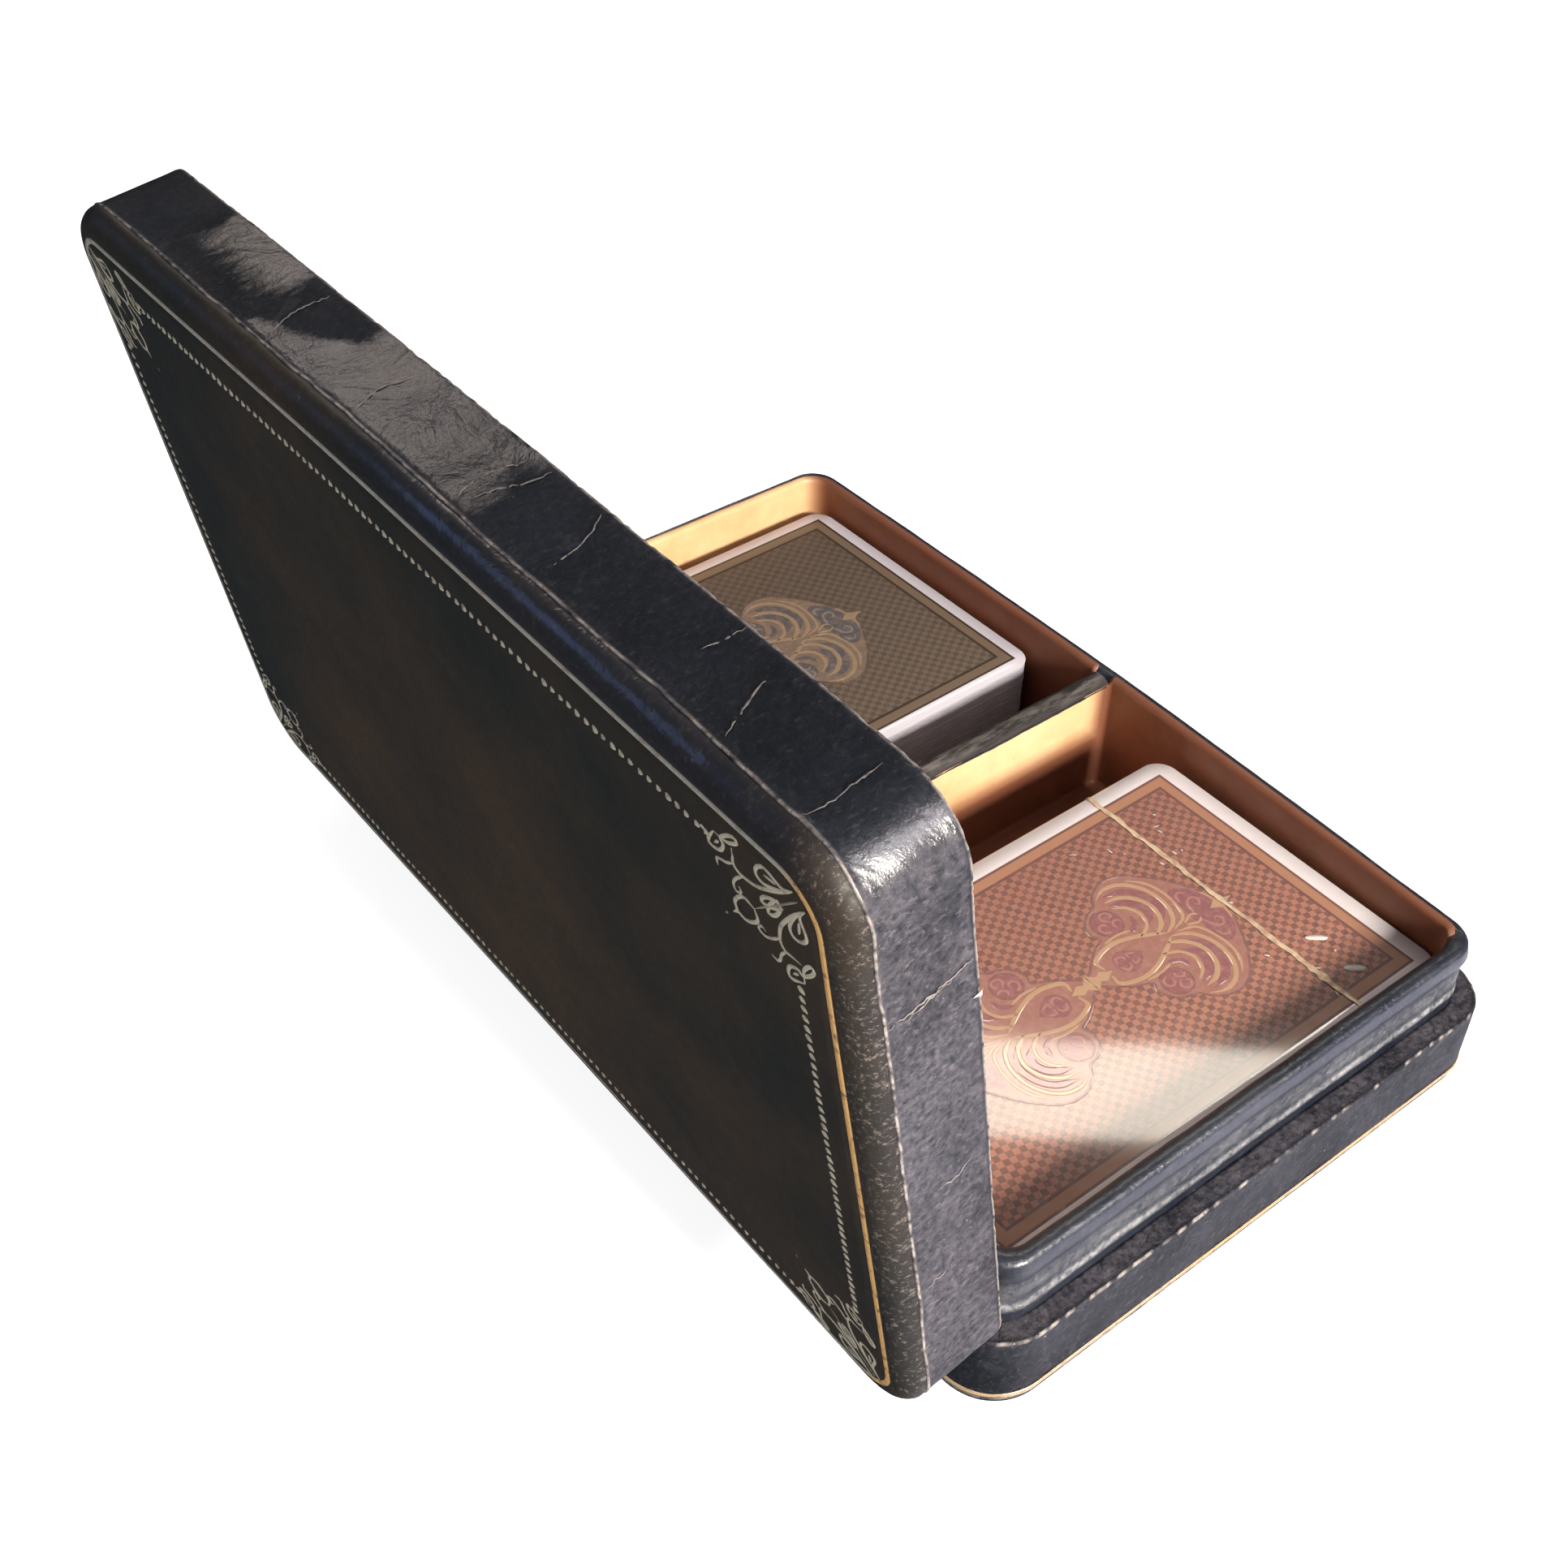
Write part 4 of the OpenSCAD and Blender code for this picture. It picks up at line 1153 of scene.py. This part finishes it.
def build_wrapper(deck):
    """Tight crinkled film round the pack, its end folds and a few standing wrinkles."""
    grow = 0.16
    points, outward = card_outline(grow, arc=10, long_steps=70, short_steps=50)
    low, high = deck.low_z - 0.12, deck.card_z + 0.13
    levels = [(1.2, low, 0), (0.3, low + 0.05, 0), (0.0, low + 0.5, 1)]
    levels += [(0.0, z, 1) for z in np.linspace(low + 1.5, high - 1.2, 12)]
    levels += [(0.03, high - 0.5, 1), (0.15, high - 0.15, 0.6), (0.45, high, 0.2)]
    levels += [(inset, high, 0.15) for inset in (1.2, 2.4, 4, 6, 9, 12, 16, 20, 24, 27)]
    rings, free = [], []
    for inset, z, loose in levels:
        scale = 1 - inset / np.array([CARD_W / 2, CARD_L / 2])
        rings.append(at_height((points * scale, outward), z))
        free.append(np.full(len(points), loose))
    rings = np.array(rings)
    flat = rings.reshape(-1, 3)
    loose = np.concatenate(free)
    wave = noise_at(flat, 5, 61) + 0.5 * noise_at(flat, 1.8, 62)
    push_out(flat, outward, 0.05 * wave * loose)
    flat[:, 2] += 0.05 * noise_at(flat, 3.2, 63) * (loose < 0.5)
    obj = loft(f"{deck.side}_wrapper", deck.place(flat).reshape(rings.shape), cap_first=True, cap_last=True)
    paint(obj, "film")
    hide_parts(f"{deck.side}_deck_wrap")
    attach(obj, deck.body)

    verts, faces = [], []
    mid = (low + high) / 2
    for sign in (-1, 1):
        y = sign * (CARD_L / 2 + grow + 0.05)
        for x0, z0, x1, z1, x2, z2 in ((-25, high - 0.6, 25, high - 0.6, 0, mid - 2),
                                       (-25, low + 0.6, 25, low + 0.6, 0, mid + 2),
                                       (-27, low + 1, -27, high - 1, -12, mid),
                                       (27, low + 1, 27, high - 1, 12, mid)):
            at = len(verts)
            verts += [(x0, y, z0), (x1, y, z1), (x2, y + sign * 0.08, z2)]
            faces.append((at, at + 1, at + 2))
    obj = new_object(f"{deck.side}_wrapper_end_folds", deck.place(verts), faces)
    paint(obj, "film_fold")
    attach(obj, deck.body)

    creases = Flatwork()
    creases.ribbon([(-22.2, -34.0), (-21.3, -32.7), (-20.3, -31.4)], 1.1, 0.1, (0.2, 0.2))
    creases.ribbon([(-14.9, -34.2), (-13.9, -33.0), (-12.8, -31.6)], 1.0, 0.1, (0.2, 0.2))
    for _ in range(16):
        x, y, a = RNG.uniform(-26, 26), RNG.gauss(-27, 7), RNG.uniform(0, math.pi)
        if abs(y) < 41:
            creases.drop(x, y, a, RNG.uniform(0.3, 1.3), RNG.uniform(0.15, 0.4), 0.05)

    def lay(points_on_film):
        lifted = np.asarray(points_on_film, float).copy()
        lifted[:, 2] += high + 0.03
        return deck.place(lifted)

    obj = creases.build(f"{deck.side}_wrapper_creases", lay)
    paint(obj, "crease")
    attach(obj, deck.body)
    return high


def build_tear_strip(deck, film_z):
    """Gold opening band, crumpled thin, over the top of the film and down both long sides."""
    low, high = extent("left_tear_strip")
    y_mid = (low[1] + high[1]) / 2 - deck.centre[1]
    half = CARD_W / 2 + 0.26
    path = [(-half, z) for z in np.linspace(low[2] + 0.2, film_z - 0.4, 14)]
    path += [(x, film_z + 0.05) for x in np.linspace(-half + 0.35, half - 0.35, 130)]
    path += [(half, z) for z in np.linspace(film_z - 0.4, low[2] + 0.2, 14)]
    verts = []
    for x, z in path:
        at = Vector((x, 0, z))
        centre = y_mid + 0.28 * noise.noise(at / 4) + 0.15 * noise.noise(at / 1.3)
        width = 0.8 + 0.3 * noise.noise(at / 1.6 + Vector((5, 0, 0)))
        for knot, size in ((-19.5, 0.75), (-17.6, 0.5), (0.5, 0.45), (9.8, 0.4)):
            width += size * math.exp(-((x - knot) / 0.55) ** 2)
        rise = 0.06 + 0.05 * abs(noise.noise(at / 0.9))
        out = (math.copysign(0.05, x), 0) if z < film_z else (0, rise)
        for k in (-1, 0, 1):
            ridge = 1 if k == 0 else 0.2
            verts.append((x + out[0] * ridge, centre + k * width / 2, z + out[1] * ridge))
    obj = new_object("left_tear_strip_band", deck.place(verts), grid_faces(len(path), 3))
    paint(obj, "tear_strip")
    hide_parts("left_tear_strip")
    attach(obj, deck.body)


# ---- stage, lights and camera ------------------------------------------------------------
def build_stage():
    bpy.ops.mesh.primitive_plane_add(size=8)
    floor = bpy.context.object
    floor.name = "floor"
    m = Nodes("floor_white")
    m.set(Base_Color=m.mix(m.noise(400, 2), (0.88, 0.88, 0.88), (0.9, 0.9, 0.9)), Roughness=0.9,
          Specular_IOR_Level=0.1, Emission_Color=(1.0, 1.0, 1.0, 1.0), Emission_Strength=0.85)
    floor.data.materials.append(m.owner)
    floor.visible_glossy = False


def area_light(name, place_mm, target_mm, size_mm, power, colour):
    data = bpy.data.lights.new(name, "AREA")
    data.shape = "RECTANGLE"
    data.size, data.size_y = size_mm[0] * MM, size_mm[1] * MM
    data.energy = power
    data.color = colour
    obj = bpy.data.objects.new(name, data)
    bpy.context.scene.collection.objects.link(obj)
    obj.location = Vector(place_mm) * MM
    aim = (Vector(target_mm) - Vector(place_mm)).to_track_quat("-Z", "Y")
    obj.rotation_euler = aim.to_euler()
    return obj


def build_world():
    """Even studio light for shading, and for reflections a dark room with a few soft panels."""
    w = Nodes("studio", "worlds")
    even = w.tree.nodes["Background"]
    w.put(even.inputs["Color"], (0.93, 0.95, 1.0))
    w.put(even.inputs["Strength"], WORLD_LIGHT)
    direction = w.add("ShaderNodeTexCoord").outputs["Generated"]
    colour = DARK_ROOM
    for toward, inner, outer, tint in PANELS:
        dot = w.add("ShaderNodeVectorMath", {0: direction, 1: Vector(toward).normalized()},
                    operation="DOT_PRODUCT")
        fade = w.add("ShaderNodeMapRange", {
            "Value": dot.outputs["Value"], "From Min": math.cos(math.radians(outer)),
            "From Max": math.cos(math.radians(inner))}, interpolation_type="SMOOTHSTEP")
        colour = w.mix(fade.outputs["Result"], colour, tint)
    seen = w.add("ShaderNodeBackground", {"Color": colour})
    glossy = w.add("ShaderNodeLightPath").outputs["Is Glossy Ray"]
    either = w.add("ShaderNodeMixShader", {0: glossy, 1: even.outputs[0], 2: seen.outputs[0]})
    w.put(w.tree.nodes["World Output"].inputs["Surface"], either.outputs[0])
    bpy.context.scene.world = w.owner


def build_lights():
    area_light("key", (-780, 25, 385), (0, 0, 15), (170, 170), 17, (1.0, 0.93, 0.82))
    fill = area_light("fill", (300, -700, 800), (0, 0, 20), (700, 500), 1.2, (1.0, 0.97, 0.93))
    fill.visible_glossy = False
    glare = area_light("film_glare", (236, -391, 600), (236, -391, 0), (300, 62), 0.9, (1.0, 0.93, 0.80))
    glare.rotation_euler = (0, 0, math.radians(49.7))
    glare.visible_diffuse = False
    bpy.context.scene.view_settings.view_transform = "Standard"


def build_camera():
    """Camera at the viewing angle, with the small roll and shift of its framing."""
    data = bpy.data.cameras.new("camera")
    camera = bpy.data.objects.new("camera", data)
    bpy.context.scene.collection.objects.link(camera)
    right, down = Vector(CAMERA_RIGHT), Vector(CAMERA_DOWN)
    forward = right.cross(down).normalized()
    right = down.cross(forward).normalized()
    down = forward.cross(right)
    rotation = Matrix((right, -down, -forward)).transposed()
    camera.matrix_world = Matrix.Translation(Vector(CAMERA_AT) * MM) @ rotation.to_4x4()
    data.lens, data.sensor_width = LENS_MM, SENSOR_MM
    data.shift_x, data.shift_y = FRAME_SHIFT
    data.clip_start = 0.01
    bpy.context.scene.camera = camera


# ---- build -------------------------------------------------------------------------------
build_camera()
build_stage()
build_world()
build_lights()
build_lid_top()
build_side_strip("lid_side_strip", RIM_Z, LID_SEAM_Z + 0.2, 1, 2.5, opened, "lid_side_leather", "lid", 0.6)
build_cracks()
build_gold_line_lid()
build_rope_border()
build_corner_sprays()
build_base_bottom()
build_side_strip("base_side_strip", LEDGE_Z, SEAM_BASE_Z, -1, 3.7, unmoved, "base_side_leather", "base", 1.0)
build_base_gold_line()
build_collar()
build_divider_cap()
build_hinge()
for compartment in ("left", "right"):
    build_liner(compartment)

RED_INKS = ((0.28, 0.080, 0.055), (0.15, 0.030, 0.028), (0.42, 0.23, 0.11), (0.21, 0.032, 0.044),
            (0.34, 0.105, 0.085))
GREY_INKS = ((0.155, 0.108, 0.078), (0.07, 0.05, 0.038), (0.25, 0.175, 0.105), (0.07, 0.065, 0.07),
             (0.16, 0.145, 0.14))
left = Deck("left", 0.3, True)
build_cards(left, "red_edge", "red_back")
build_medallion(left, "red_ink", RED_INKS)
left_film_z = build_wrapper(left)
build_tear_strip(left, left_film_z)
right = Deck("right", 1.2, False)
build_cards(right, "shaded_card_edge", "shaded_grey_back")
build_medallion(right, "grey_ink", GREY_INKS)

NODE_MATERIALS = {
    "board": [n for n in frame["nodes"] if "board" in n or ("wall_" in n and "lining" not in n)],
    "lining": ["lid_top_lining", "lid_wall_lining"],
}
for material, nodes in NODE_MATERIALS.items():
    for node in nodes:
        paint(frame["nodes"][node], material)
paint(frame["nodes"]["lid_padding"], "board")
